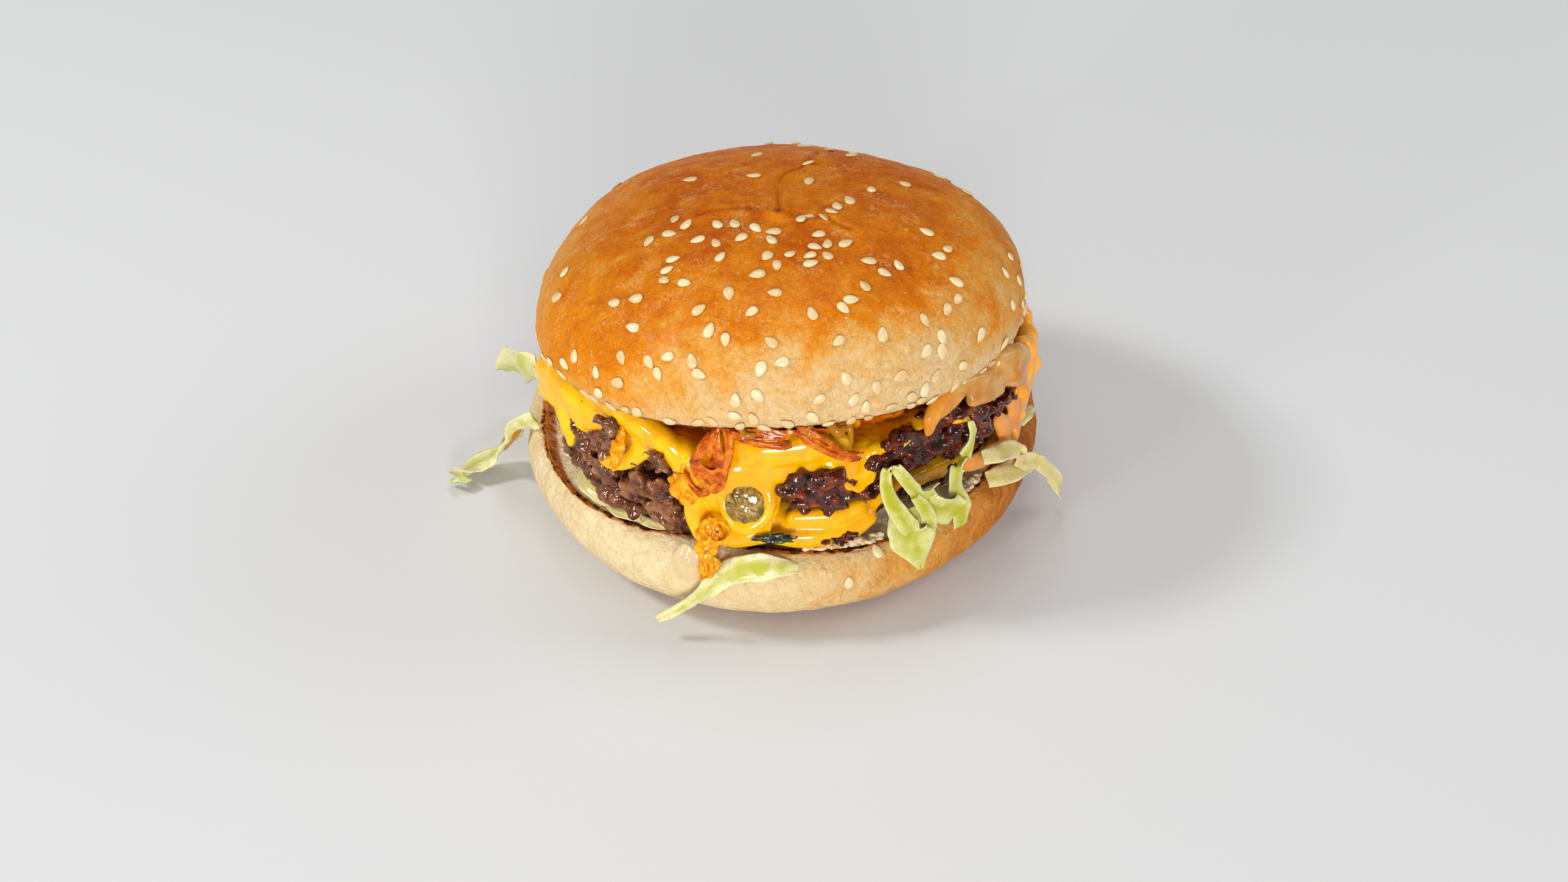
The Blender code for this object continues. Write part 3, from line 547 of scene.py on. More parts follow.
def evaluated(mesh, modifiers=(), tree=None, inputs=None, hidden=()):
    """What modifiers, given as (type, settings), and then a geometry tree make of a mesh.

    Hidden points make up the vertex group "hidden" that a modifier may name.
    """
    item = bpy.data.objects.new(mesh.name, mesh)
    bpy.context.scene.collection.objects.link(item)
    if hidden:
        item.vertex_groups.new(name="hidden").add(hidden, 1.0, "REPLACE")
    for kind, settings in modifiers:
        modifier = item.modifiers.new(kind.lower(), kind)
        for name, value in settings.items():
            setattr(modifier, name, value)
    if tree:
        modifier = item.modifiers.new(tree.name, "NODES")
        modifier.node_group = tree
        sockets = {socket.name: socket.identifier for socket in tree.interface.items_tree
                   if socket.in_out == "INPUT"}
        for name, value in (inputs or {}).items():
            modifier[sockets[name]] = value
    bpy.context.view_layer.update()
    made = bpy.data.meshes.new_from_object(item.evaluated_get(bpy.context.evaluated_depsgraph_get()))
    made.name = mesh.name
    bpy.data.objects.remove(item)
    return made


def balls(name, spots):
    """Overlapping ellipsoids: (centre, radius, (x, y, z) squash, turn about z) for each."""
    shape = bmesh.new()
    bmesh.ops.create_icosphere(shape, subdivisions=2, radius=1.0)
    ball = np.array([vert.co for vert in shape.verts])
    shape.verts.index_update()
    ball_faces = np.array([[vert.index for vert in face.verts] for face in shape.faces])
    shape.free()
    points = []
    faces = []
    for number, (centre, radius, squash, turn) in enumerate(spots):
        turned = np.array(Matrix.Rotation(turn, 3, "Z"))
        points.append((ball * np.array(squash) * radius) @ turned.T + np.array(centre))
        faces.append(ball_faces + number * len(ball))
    mesh = bpy.data.meshes.new(name)
    mesh.from_pydata(np.concatenate(points).tolist(), [], np.concatenate(faces).tolist())
    return mesh


def melted(mesh, voxel, smooth):
    """Overlapping closed shapes run together into one skin."""
    return evaluated(mesh, [("REMESH", {"mode": "VOXEL", "voxel_size": voxel}),
                            ("SMOOTH", {"factor": 0.5, "iterations": smooth})])


def thinned(mesh):
    """Fewer faces in the middle of a layer, where the layers above and below hide it."""
    middle = [vert.index for vert in mesh.vertices if math.hypot(vert.co.x, vert.co.y) < HIDDEN_RADIUS]
    return evaluated(mesh, [("DECIMATE", {"ratio": THINNED_SHARE, "vertex_group": "hidden"})], hidden=middle)


def piece(mesh, finish, slot, *replaced):
    """Put a finished mesh into the scene as a piece of the burger, under its plain title."""
    made = bpy.data.objects.new(mesh.name.split(".")[0], mesh)
    bpy.context.scene.collection.objects.link(made)
    made.data.materials.clear()
    made.data.materials.append(finish)
    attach(made, "root")
    if replaced:
        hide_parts(*replaced)
    return made


def shade(mesh, name, rule):
    """Store a rule's value at each point of a mesh."""
    values = [rule(vert.co) for vert in mesh.vertices]
    mesh.attributes.new(name, "FLOAT", "POINT").data.foreach_set("value", values)


# Top bun

CROWN_AROUND = 480
# Folds of the crust near the top, in millimetres across the crown: points, depth
CROWN_FOLDS = (
    (((1.5, -14.0), (0.5, -8.0), (1.5, 0.0), (5.0, 7.0), (9.0, 15.0), (12.0, 24.0)), 0.7),
    (((1.5, -14.0), (-5.0, -11.5), (-11.0, -11.5), (-17.0, -12.5)), 0.9),
    (((1.5, -14.0), (7.0, -16.5), (13.0, -18.0), (18.0, -21.0)), 0.7),
    (((9.0, 12.0), (14.0, 12.0), (19.0, 11.0)), 0.35),
    (((-17.0, -12.5), (-15.5, -8.0), (-11.0, -3.0)), 0.35),
)
CROWN_BLISTERS = 90


def fold_depth(x, y, points, depth):
    """Depth of a pinched fold of the crust, with a raised lip on each side."""
    best = 1.0
    for (ax, ay), (bx, by) in zip(points, points[1:]):
        ax, ay, bx, by = ax * MM, ay * MM, bx * MM, by * MM
        length = (bx - ax) ** 2 + (by - ay) ** 2
        share = min(max(((x - ax) * (bx - ax) + (y - ay) * (by - ay)) / length, 0.0), 1.0)
        best = min(best, math.hypot(x - ax - share * (bx - ax), y - ay - share * (by - ay)))
    away = best / MM
    return depth * MM * (math.exp(-(away / 0.55) ** 2) - 0.55 * math.exp(-((away - 1.7) / 1.3) ** 2))


def crown_skin(angle, share):
    """The top bun's skin with its folds and soft unevenness, in its own frame."""
    spot = dome_point(angle, share)
    out = spot.normalized()
    relief = 0.32 * MM * noise.noise(spot / (7 * MM)) + 0.12 * MM * noise.noise(spot / (2.8 * MM))
    wander = 2.2 * MM
    warped = spot + wander * noise.noise_vector(spot / (9 * MM))
    if share < 0.75:
        for points, depth in CROWN_FOLDS:
            relief -= fold_depth(warped.x, warped.y, points, depth)
    relief += 0.16 * MM * abs(noise.noise(spot / (1.7 * MM) + Vector((5, 1, 2))))
    if share > 1.55:
        relief += 0.6 * MM * (share - 1.55) / 0.45 * noise.noise(spot / (1.6 * MM))
    return spot + out * relief


def browning(angle, share):
    """How dark the top bun is baked, and paler at the left by painted light: 1 is deep golden brown and 0 is
    pale.
    """
    pale = step_up(share, 0.50, 1.00) * lobe(angle, 14, 50)
    pale += 0.85 * step_up(share, 0.90, 1.25) * lobe(angle, 82, 40)
    pale += 0.45 * step_up(share, 1.15, 1.7)
    dark = 0.42 * lobe(angle, -48, 26) * lobe(share * 60, 50, 16)
    dark += 0.16 * lobe(angle, 40, 30) * lobe(share * 60, 33, 12)
    dark += 0.22 * lobe(share * 60, 12, 16) - 0.10 * lobe(angle, 110, 50) * step_up(share, 0.3, 0.8)
    return min(max(0.60 - 0.62 * pale - 0.22 * painted_left_light(angle, share) + dark, 0.0), 1.0)


def painted_left_light(angle, share):
    """Painted light: how much yellower and brighter the crust is made at the left, where the light from the
    left falls on it.
    """
    return step_up(share, 0.40, 0.95) * lobe(angle, -84, 46)


def crown_piece(finish):
    shares = [0.006 + 0.994 * k / 92 for k in range(93)] + [1 + k / 44 for k in range(1, 45)]
    turn = CROWN_TILT.to_matrix()
    draw = random.Random(5)
    blisters = []
    for _ in range(CROWN_BLISTERS):
        spot = dome_point(draw.uniform(-180, 180), 1.45 * draw.random() ** 0.5)
        blisters.append((np.array(spot), draw.uniform(0.9, 2.6) * MM, draw.uniform(0.06, 0.20) * MM))
    rings = []
    bake = []
    gold = []
    edge = []
    for share in shares:
        rings.append([crown_skin(360 * k / CROWN_AROUND, share) for k in range(CROWN_AROUND)])
        bake.append([browning(360 * k / CROWN_AROUND, share) for k in range(CROWN_AROUND)])
        # Painted light: a yellower, brighter crust at the left, where light from the left falls
        gold.append([painted_left_light(360 * k / CROWN_AROUND, share) for k in range(CROWN_AROUND)])
        edge.append([step_up(share, 1.36, 1.64)] * CROWN_AROUND)
    rings = np.array(rings)
    for centre, radius, height in blisters:
        away = np.linalg.norm(rings - centre, axis=2) / radius
        out = rings / np.linalg.norm(rings, axis=2, keepdims=True)
        rings = rings + out * (height * np.exp(-away ** 2))[:, :, None]
    rings = list(rings)
    for inset in (0.5, 1.5, 4.0, 10.0, 25.0):
        last = np.array(rings[-1])
        size = np.linalg.norm(last[:, :2], axis=1)
        grow = ((size - inset * MM) / size)[:, None] if inset < 25 else 0.45
        inner = last.copy()
        inner[:, :2] *= grow
        inner[:, 2] = last[:, 2] * 0.6 - CROWN_DROP * 0.4 if inset < 25 else -CROWN_DROP
        rings.append(inner)
        bake.append([0.4] * CROWN_AROUND)
        gold.append([0.0] * CROWN_AROUND)
        edge.append([0.9 if inset < 2 else 0.4] * CROWN_AROUND)
    turned = np.array(rings) @ np.array(turn).T + np.array(CROWN_CENTRE)
    mesh = closed_rings("crown", turned[::-1], {"bake": bake[::-1], "gold": gold[::-1],
                                                    "edge": edge[::-1]})
    return piece(mesh, finish, "crust", "bun_top")


def crust_finish():
    """Egg-washed crust: pale cream to golden brown, mottled, with a burnt cut edge."""
    look = Finish("golden_crust")
    bake = look.painted("bake")
    edge = look.painted("edge")
    cloud = look.mottle(12 * MM, 3.0, 0.55, 0.8) - 0.5
    patch = look.mottle(4.2 * MM, 4.0, 0.62, 0.6) - 0.5
    grain = look.mottle(0.8 * MM, 4.0, 0.7) - 0.5
    level = bake + cloud * 0.95 + patch * 0.62 + grain * 0.42
    colour = look.ramp(level, (0.0, tone(224, 190, 138)), (0.20, tone(220, 176, 112)),
                       (0.38, tone(222, 156, 68)), (0.62, tone(218, 126, 14)), (1.0, tone(190, 84, 0)))
    # Painted light: the crust at the left turns yellower and brighter, as where light from the left falls on
    # it
    left_light_share = look.painted("gold")
    colour = look.mix(left_light_share * (0.80 - level * 0.35), colour, tone(234, 150, 8))
    wrinkle = look.mottle(1.6 * MM, 5.0, 0.66, 1.2)
    ridge = 1 - abs(look.mottle(3.4 * MM, 3.0, 0.6, 1.6) - 0.5).rising(0.0, 0.035)
    torn = ridge * look.mottle(8 * MM, 2.0).rising(0.50, 0.62)
    colour = look.mix(torn * 0.5, colour, tone(236, 196, 130))
    colour = look.mix(wrinkle.rising(0.50, 0.78) * 0.26, colour, tone(234, 186, 116))
    shadow = look.mottle(2.2 * MM, 4.0, 0.66, 0.8).rising(0.56, 0.80)
    colour = look.mix(shadow * 0.26, colour, tone(192, 100, 14))
    pores = look.specks(0.35 * MM, 1.7 * MM, 0.35)
    colour = look.mix(pores * 0.5, colour, tone(150, 80, 24))
    flour = look.specks(0.5 * MM, 2.3 * MM, 0.3)
    colour = look.mix(flour * 0.35, colour, tone(246, 220, 170))
    rag = look.mottle(1.5 * MM, 3.0) - 0.5
    warm = (edge + rag * 0.9).rising(0.18, 0.7)
    colour = look.mix(warm * 0.8, colour, tone(196, 110, 34))
    burnt = (edge + rag * 1.5).rising(0.58, 0.86)
    colour = look.mix(burnt * edge.rising(0.3, 0.8), colour, tone(64, 28, 10))
    return look.surface(colour, 0.50 + patch * 0.25,
                        [(patch, 0.4, 1.2 * MM), (wrinkle, 0.85, 0.8 * MM), (torn, 0.3, 0.3 * MM),
                         (grain, 0.6, 0.3 * MM), (pores * -1.0, 0.5, 0.15 * MM)],
                        Coat_Weight=0.07, Coat_Roughness=0.25, Specular_IOR_Level=0.04)


# Sesame seeds


def seed_tree():
    """Sesame seeds on points that carry the way up, the way along and the size."""
    graph = Tree("sesame_seeds", (("Points", "Geometry"), ("Length", "Float"), ("Width", "Float"),
                                  ("Height", "Float"), ("Taper", "Float"), ("Draw", "Int")))
    given = graph.given
    ball = graph.node("GeometryNodeMeshUVSphere", {}, {"Segments": 12, "Rings": 6, "Radius": 1.0})
    x = graph.node("ShaderNodeSeparateXYZ", {}, {0: graph.node("GeometryNodeInputPosition")})
    y = x.output("Y")
    z = x.output("Z")
    round_off = 1 - given.output("Taper") * x * (1.2 + x * 0.3)
    shaped = graph.node("ShaderNodeCombineXYZ", {}, {
        "X": x * given.output("Length") * 0.5,
        "Y": y * round_off * given.output("Width") * 0.5,
        "Z": z * round_off * given.output("Height")})
    kept = graph.node("GeometryNodeStoreNamedAttribute", {"data_type": "FLOAT", "domain": "POINT"},
                      {"Geometry": ball, "Name": "tip", "Value": x})
    seed = graph.node("GeometryNodeSetPosition", {}, {"Geometry": kept, "Position": shaped})
    up, ahead = (graph.node("GeometryNodeInputNamedAttribute", {"data_type": "FLOAT_VECTOR"}, {"Name": name})
                 for name in ("up", "ahead"))
    size = graph.node("GeometryNodeInputNamedAttribute", {"data_type": "FLOAT"}, {"Name": "size"})
    turn = graph.node("FunctionNodeAxesToRotation", {"primary_axis": "Z", "secondary_axis": "X"},
                      {"Primary Axis": up, "Secondary Axis": ahead})
    placed = graph.node("GeometryNodeInstanceOnPoints", {}, {
        "Points": given.output("Points"), "Instance": seed, "Rotation": turn, "Scale": size})
    chance = graph.node("FunctionNodeRandomValue", {"data_type": "FLOAT"}, {"Seed": given.output("Draw")},
                        out=1)
    shaded = graph.node("GeometryNodeStoreNamedAttribute", {"data_type": "FLOAT", "domain": "INSTANCE"},
                        {"Geometry": placed, "Name": "chance", "Value": chance})
    return graph.closed(shaded)


def seeds_piece(finish):
    spots = []
    turn = CROWN_TILT.to_matrix()
    for angle, share, heading, size in seed_places():
        spot, normal, aside = skin_frame(crown_skin, angle, share)
        ahead = aside * math.cos(heading) + normal.cross(aside) * math.sin(heading)
        lean = noise.noise_vector(spot / (3 * MM)) * 0.16
        place = turn @ (spot + normal * SEED_RAISED) + CROWN_CENTRE
        spots.append((place, turn @ (normal + lean), turn @ ahead, size))
    for angle, share, heading in HEEL_SEEDS:
        spot, normal, aside = skin_frame(heel_point, angle, share)
        ahead = aside * math.cos(heading) + normal.cross(aside) * math.sin(heading)
        spots.append((spot + normal * 0.2 * MM, normal, ahead, 1.0))
    points = bpy.data.meshes.new("sesame")
    points.from_pydata([tuple(row[0]) for row in spots], [], [])
    for column, name in ((1, "up"), (2, "ahead")):
        layer = points.attributes.new(name, "FLOAT_VECTOR", "POINT")
        layer.data.foreach_set("vector", [part for row in spots for part in row[column].normalized()])
    points.attributes.new("size", "FLOAT", "POINT").data.foreach_set("value", [row[3] for row in spots])
    seeds = evaluated(points, tree=seed_tree(), inputs={
        "Length": SEED_LENGTH * 1.08, "Width": SEED_WIDTH * 1.12, "Height": SEED_HEIGHT * 0.66, "Taper": 0.26,
        "Draw": 3, "Finish": finish})
    return piece(seeds, finish, "pale_crust")


def seed_finish():
    look = Finish("toasted_sesame")
    tip = look.painted("tip").rising(0.3, 1.0)
    chance = look.painted("chance")
    colour = look.mix(chance, tone(230, 208, 160), tone(212, 178, 122))
    colour = look.mix(tip * 0.45, colour, tone(204, 164, 104))
    grain = look.mottle(0.5 * MM, 2.0)
    colour = look.mix(grain.rising(0.45, 0.75) * 0.25, colour, tone(240, 224, 188))
    return look.surface(colour, 0.34, [(grain, 0.2, 0.12 * MM)], Subsurface_Weight=0.25,
                        Subsurface_Radius=(1.0, 0.7, 0.4), Subsurface_Scale=1.0 * MM, Coat_Weight=0.4,
                        Coat_Roughness=0.15)


# Bottom bun

HEEL_AROUND = 480
CRUMB_DEPTH = 0.7 * MM


def heel_skin(angle, share):
    """The bottom bun's side with soft dimples and a ragged rim."""
    spot = heel_point(angle, share)
    out = Vector((spot.x, spot.y, 0)).normalized()
    relief = 0.6 * MM * noise.noise(spot / (8 * MM) + Vector((2, 0, 0)))
    relief += 0.22 * MM * noise.noise(spot / (3 * MM))
    pleat = noise.noise(Vector((spot.x, spot.y, spot.z * 0.35)) / (4.5 * MM))
    relief -= 0.5 * MM * max(0.0, 1 - abs(pleat) / 0.06) * step_up(share, 0.5, 1.1)
    rim = step_up(share, 1.7, 2.0)
    relief += rim * 0.7 * MM * noise.noise(spot / (1.9 * MM))
    foot = step_up(share, 0.0, 0.3)
    return spot + out * relief * foot


def heel_piece(finish):
    angles = [360 * k / HEEL_AROUND for k in range(HEEL_AROUND)]
    rings = []
    toast = []
    crumb = []
    bake = []

    def add(ring, toasted, open_crumb, shaded_brown):
        rings.append(ring)
        toast.append(toasted)
        crumb.append([open_crumb] * HEEL_AROUND)
        bake.append(shaded_brown)

    none = [0.0] * HEEL_AROUND
    for share in (0.35, 0.7, 0.9):
        add([polar(angle, HEEL_FOOT * share, 0) for angle in angles], none, 0.0, [1.0] * HEEL_AROUND)
    for k in range(64):
        share = 2 * k / 63
        ring = [heel_skin(angle, min(share, 1.9999)) for angle in angles]
        low = 1 - step_up(share, 0.12, 0.62)
        # Browner at the foot and on the right side: partly baked colour, partly painted shade where less
        # light falls
        brown_and_shade = [min(1.0, 0.9 * low + 1.0 * lobe(angle, 72, 48) * (1 - 0.2 * step_up(share, 1.2, 1.9))
                     + 0.35 * lobe(angle, 180, 80) + 0.16 * lobe(angle, 20, 30)) for angle in angles]
        add(ring, [step_up(share, 1.80, 2.0)] * HEEL_AROUND, 0.0, brown_and_shade)
    for k in range(1, 46):
        inset = 34 * MM * (k / 45) ** 1.5
        drop = HEEL_DISH * step_up(inset, 0.2 * MM, 2.8 * MM)
        ring = []
        for angle in angles:
            spot = polar(angle, heel_rim_radius(angle) - inset, HEEL_RIM_HEIGHT - drop)
            pores = noise.noise(spot / (1.3 * MM)) + 0.6 * noise.noise(spot / (3.1 * MM))
            spot.z += CRUMB_DEPTH * 0.45 * pores * step_up(inset, 0.3 * MM, 1.6 * MM)
            ring.append(spot)
        left = [lobe(angle, -76, 22) for angle in angles]
        add(ring, [(1 - 0.3 * part) * (1 - step_up(inset, (1.0 + 1.2 * part) * MM, (2.0 + 2.0 * part) * MM))
                   for part in left], step_up(inset, 0.5 * MM, 1.4 * MM),
            [0.3] * HEEL_AROUND)
    mesh = closed_rings("heel", rings, {"toast": toast, "crumb": crumb, "bake": bake})
    return piece(mesh, finish, "pale_crust", "bun_bottom")


def heel_finish():
    """Soft pale side, golden foot, toasted rim and open crumb; the foot and the right side are darker, partly
    by painted shade.
    """
    look = Finish("pale_bun")
    bake = look.painted("bake")
    toast = look.painted("toast")
    crumb = look.painted("crumb")
    cloud = look.mottle(8 * MM, 3.0, 0.55, 0.8) - 0.5
    patch = look.mottle(2.8 * MM, 4.0, 0.62, 0.6) - 0.5
    grain = look.mottle(0.9 * MM, 4.0, 0.66) - 0.5
    # The bake value: baked colour, with painted shade at the foot and on the right side
    level = bake * 0.92 + 0.04 + cloud * 0.62 + patch * 0.36 + grain * 0.30
    colour = look.ramp(level, (0.0, tone(226, 206, 162)), (0.28, tone(218, 188, 134)),
                       (0.56, tone(208, 148, 70)), (0.85, tone(190, 114, 38)), (1.0, tone(170, 92, 22)))
    open_crumb = look.ramp(look.mottle(1.5 * MM, 4.0, 0.62), (0.3, tone(222, 188, 132)),
                           (0.5, tone(246, 226, 182)), (0.75, tone(254, 244, 218)))
    colour = look.mix(crumb, colour, open_crumb)
    pores = look.specks(0.4 * MM, 2.1 * MM, 0.3)
    colour = look.mix(pores * 0.4 * (1 - crumb), colour, tone(160, 100, 44))
    rag = look.mottle(2.4 * MM, 3.0, 0.6, 0.5) - 0.5
    warm = (toast + rag * 0.8).rising(0.25, 0.8)
    colour = look.mix(warm * 0.95, colour, tone(198, 108, 22))
    black = (toast + rag * 1.5).rising(0.78, 1.05)
    colour = look.mix(black, colour, tone(48, 20, 8))
    torn = look.mottle(7 * MM, 3.0, 0.6, 0.4, (1.0, 1.0, 0.4))
    crack = (1 - abs(torn - 0.5).rising(0.0, 0.010)) * bake.rising(0.25, 0.7) * (1 - crumb)
    colour = look.mix(crack * 0.12, colour, tone(170, 112, 60))
    dimple = look.mottle(3.0 * MM, 3.0, 0.6, 1.0, (1.0, 1.0, 0.6))
    colour = look.mix(dimple.rising(0.52, 0.74) * 0.34, colour, tone(206, 150, 84))
    light = look.mottle(1.3 * MM, 3.0, 0.6, 0.8).rising(0.60, 0.74) * bake
    colour = look.mix(light * 0.35, colour, tone(232, 196, 142))
    wrinkle = look.mottle(1.8 * MM, 5.0, 0.62, 0.8)
    return look.surface(colour, 0.55 + grain * 0.2,
                        [(dimple, 0.7, 1.2 * MM), (wrinkle, 0.8, 0.8 * MM), (grain, 0.5, 0.3 * MM),
                         (crack * -1.0, 0.25, 0.3 * MM)],
                        Subsurface_Weight=0.12, Subsurface_Radius=(1.0, 0.6, 0.3), Subsurface_Scale=1.4 * MM,
                        Specular_IOR_Level=0.06)


# Patties


def relief_tree():
    """Relief of seared mince: rounded grains with creases between; each point moves along its normal, and the
    relief is kept as the lump attribute, which paints shade in the creases.
    """
    graph = Tree("seared_relief", (("Geometry", "Geometry"), ("Lump size", "Float"), ("Lump depth", "Float"),
                                   ("Grain size", "Float"), ("Grain depth", "Float")))
    given = graph.given
    place = graph.node("GeometryNodeInputPosition")

    def billow(size, warp):
        """Rounded swellings, 0 in the creases between them."""
        wave = graph.node("ShaderNodeTexNoise", {}, {"Vector": place, "Scale": 1.0 / size, "Detail": 1.0,
                                                     "Roughness": 0.4, "Distortion": warp})
        return abs(wave - 0.5) * 2

    lump = billow(given.output("Lump size"), 0.5)
    grain = billow(given.output("Grain size"), 0.3)
    fine = billow(given.output("Grain size") * 0.42, 0.0)
    # This relief is stored for painted shade: the mince's colour is darker in the creases between swellings
    relief = lump * 2.0 + grain * 1.2 - 0.7
    grains = (grain - 0.25 + fine * 0.3) * given.output("Grain depth")
    move = (lump - 0.25) * given.output("Lump depth") + grains
    kept = graph.node("GeometryNodeStoreNamedAttribute", {"data_type": "FLOAT", "domain": "POINT"},
                      {"Geometry": given, "Name": "lump", "Value": relief})
    normal = graph.node("GeometryNodeInputNormal")
    shift = graph.node("ShaderNodeVectorMath", {"operation": "SCALE"}, {0: normal, "Scale": move})
    moved = graph.node("GeometryNodeSetPosition", {}, {"Geometry": kept, "Offset": shift})
    return graph.closed(moved)


def patty_core(name, radius, lobes):
    """The smashed patty as a smooth body between the layers above and below it."""
    level = level_of(name)
    rings = []
    angles = [360 * k / 180 for k in range(180)]

    def flat(share, top):
        ring = []
        for angle in angles:
            spot = polar(angle, INNER_RADIUS * share)
            height = boundary(level + top, spot.x, spot.y) + (0.5 - top) * LAYER_GAP
            ring.append(Vector((spot.x, spot.y, height)))
        return ring

    rings += [flat(share, 0) for share in (0.3, 0.6, 0.85, 1.0)]
    for step in range(14):
        turn = math.radians(-78 + 156 * step / 13)
        ring = []
        for angle in angles:
            edge = lobed(angle, radius, lobes)
            spot = polar(angle, edge)
            low = boundary(level, spot.x, spot.y) + 0.6 * LAYER_GAP
            high = boundary(level + 1, spot.x, spot.y) - 0.6 * LAYER_GAP
            height = (low + high) / 2 + (high - low) / 2 * math.sin(turn)
            lump = lumps(polar(angle, edge, height), LUMP_SIZE, LUMP_REACH)
            out = edge - 2.4 * MM * (1 - math.cos(turn)) + lump
            ring.append(polar(angle, out - 0.9 * MM, height))
        rings.append(ring)
    rings += [flat(share, 1) for share in (1.0, 0.85, 0.6, 0.3)]
    return closed_rings(name + "_core", rings)


def grains_along(name, radius, lobes, count, draw_number, knobs=()):
    """Grains of mince pressed along a patty's rim."""
    level = level_of(name)
    draw = random.Random(draw_number)
    spots = []
    for k in range(count):
        angle = 360 * (k + draw.random()) / count
        edge = lobed(angle, radius, lobes)
        spot = polar(angle, edge)
        low = boundary(level, spot.x, spot.y)
        high = boundary(level + 1, spot.x, spot.y)
        size = (1.4 + 2.9 * draw.random() ** 1.6) * MM
        height = draw.uniform(low + 0.75 * size, max(high - 0.75 * size, low + 0.8 * size))
        lump = lumps(polar(angle, edge, height), LUMP_SIZE, LUMP_REACH)
        bulge = 2.4 * MM * abs(2 * (height - low) / max(high - low, MM) - 1) ** 2.5
        out = edge + lump - bulge - size * draw.uniform(0.6, 1.25) - 3.0 * MM * lobe(angle, -88, 26)
        squash = (draw.uniform(0.8, 1.7), draw.uniform(0.7, 1.2), draw.uniform(0.55, 1.0))
        spots.append((polar(angle, out, height), size, squash, math.radians(angle) + draw.gauss(0, 0.4)))
    for angle, height, size, reach in knobs:
        for _ in range(9):
            ball = draw.uniform(0.35, 0.85) * size
            way = angle + draw.gauss(0, 0.7) * size / MM
            out = (reach - draw.uniform(0.0, 1.6)) * MM - ball
            place = polar(way, out, (height + draw.gauss(0, 0.55) * size / MM) * MM)
            squash = (draw.uniform(0.9, 1.5), 1.0, draw.uniform(0.6, 1.0))
            spots.append((place, ball, squash, math.radians(angle)))
    return balls(name + "_grains", spots)


# (angle, height, size, radius reached) of meat that swells out past the cheese; millimetres
UPPER_KNOBS = ((-61, 36.0, 3.2 * MM, 60.0), (-55, 37.6, 3.2 * MM, 60.0),
               (-49, 39.6, 3.2 * MM, 59.8), (-43.5, 41.4, 3.0 * MM, 59.6), (-42.4, 46.6, 2.2 * MM, 60.0),
               (-42.4, 49.0, 2.3 * MM, 60.6), (-38.0, 42.6, 2.0 * MM, 59.2), (-29.2, 47.4, 1.5 * MM, 60.4),
               (-28.2, 45.2, 1.4 * MM, 60.4), (3, 41.0, 3.6 * MM, 60.0), (8.6, 43.6, 3.8 * MM, 61.0),
               (13.4, 39.0, 3.2 * MM, 60.0), (5, 37.0, 3.2 * MM, 59.8), (10, 36.6, 3.0 * MM, 60.2),
               (17.5, 38.6, 1.5 * MM, 59.2), (21.0, 38.6, 1.4 * MM, 59.0),
               (27.5, 47.5, 3.6 * MM, 59.4), (31.5, 42.6, 3.4 * MM, 59.6), (34.0, 48.6, 3.2 * MM, 59.6),
               (38, 43.0, 3.6 * MM, 60.4), (42.5, 48.0, 3.6 * MM, 60.4), (46, 42.0, 3.8 * MM, 61.0),
               (50.5, 45.6, 3.6 * MM, 61.2), (54, 40.4, 3.0 * MM, 61.4), (57.5, 44.6, 2.2 * MM, 62.0),
               (60.5, 45.6, 1.5 * MM, 62.4), (63.5, 43.8, 1.3 * MM, 62.8))
LOWER_KNOBS = ((-58, 29.0, 3.2 * MM, 59.6), (-51, 31.0, 3.2 * MM, 60.0), (-45, 33.0, 3.2 * MM, 60.0),
               (-44.5, 27.0, 3.2 * MM, 60.2), (-38.5, 30.5, 3.4 * MM, 59.8), (-36.5, 35.0, 2.8 * MM, 59.8),
               (-33, 27.5, 3.2 * MM, 59.4), (-29.5, 35.2, 2.8 * MM, 59.6), (-27.0, 31.5, 3.0 * MM, 59.6),
               (-26.0, 26.4, 2.8 * MM, 59.2), (-24.4, 29.4, 2.4 * MM, 59.2))


def patty_piece(name, radius, lobes, count, draw_number, knobs, finish, tree):
    body = joined(name, [patty_core(name, radius, lobes), grains_along(name, radius, lobes, count,
                                                                      draw_number, knobs)])
    run = thinned(melted(body, MEAT_CELL, SKIN_SMOOTHED))
    rough = evaluated(run, tree=tree, inputs={"Lump size": 4.0 * MM, "Lump depth": 1.9 * MM,
                                              "Grain size": 2.2 * MM, "Grain depth": 0.6 * MM,
                                              "Finish": finish})
    rough.name = name.replace("patty_", "seared_patty_")
    shade(rough, "left", lambda spot: 1 - step_up(angle_of(spot.x, spot.y), -34, -4))
    return piece(rough, finish, "patty", name)


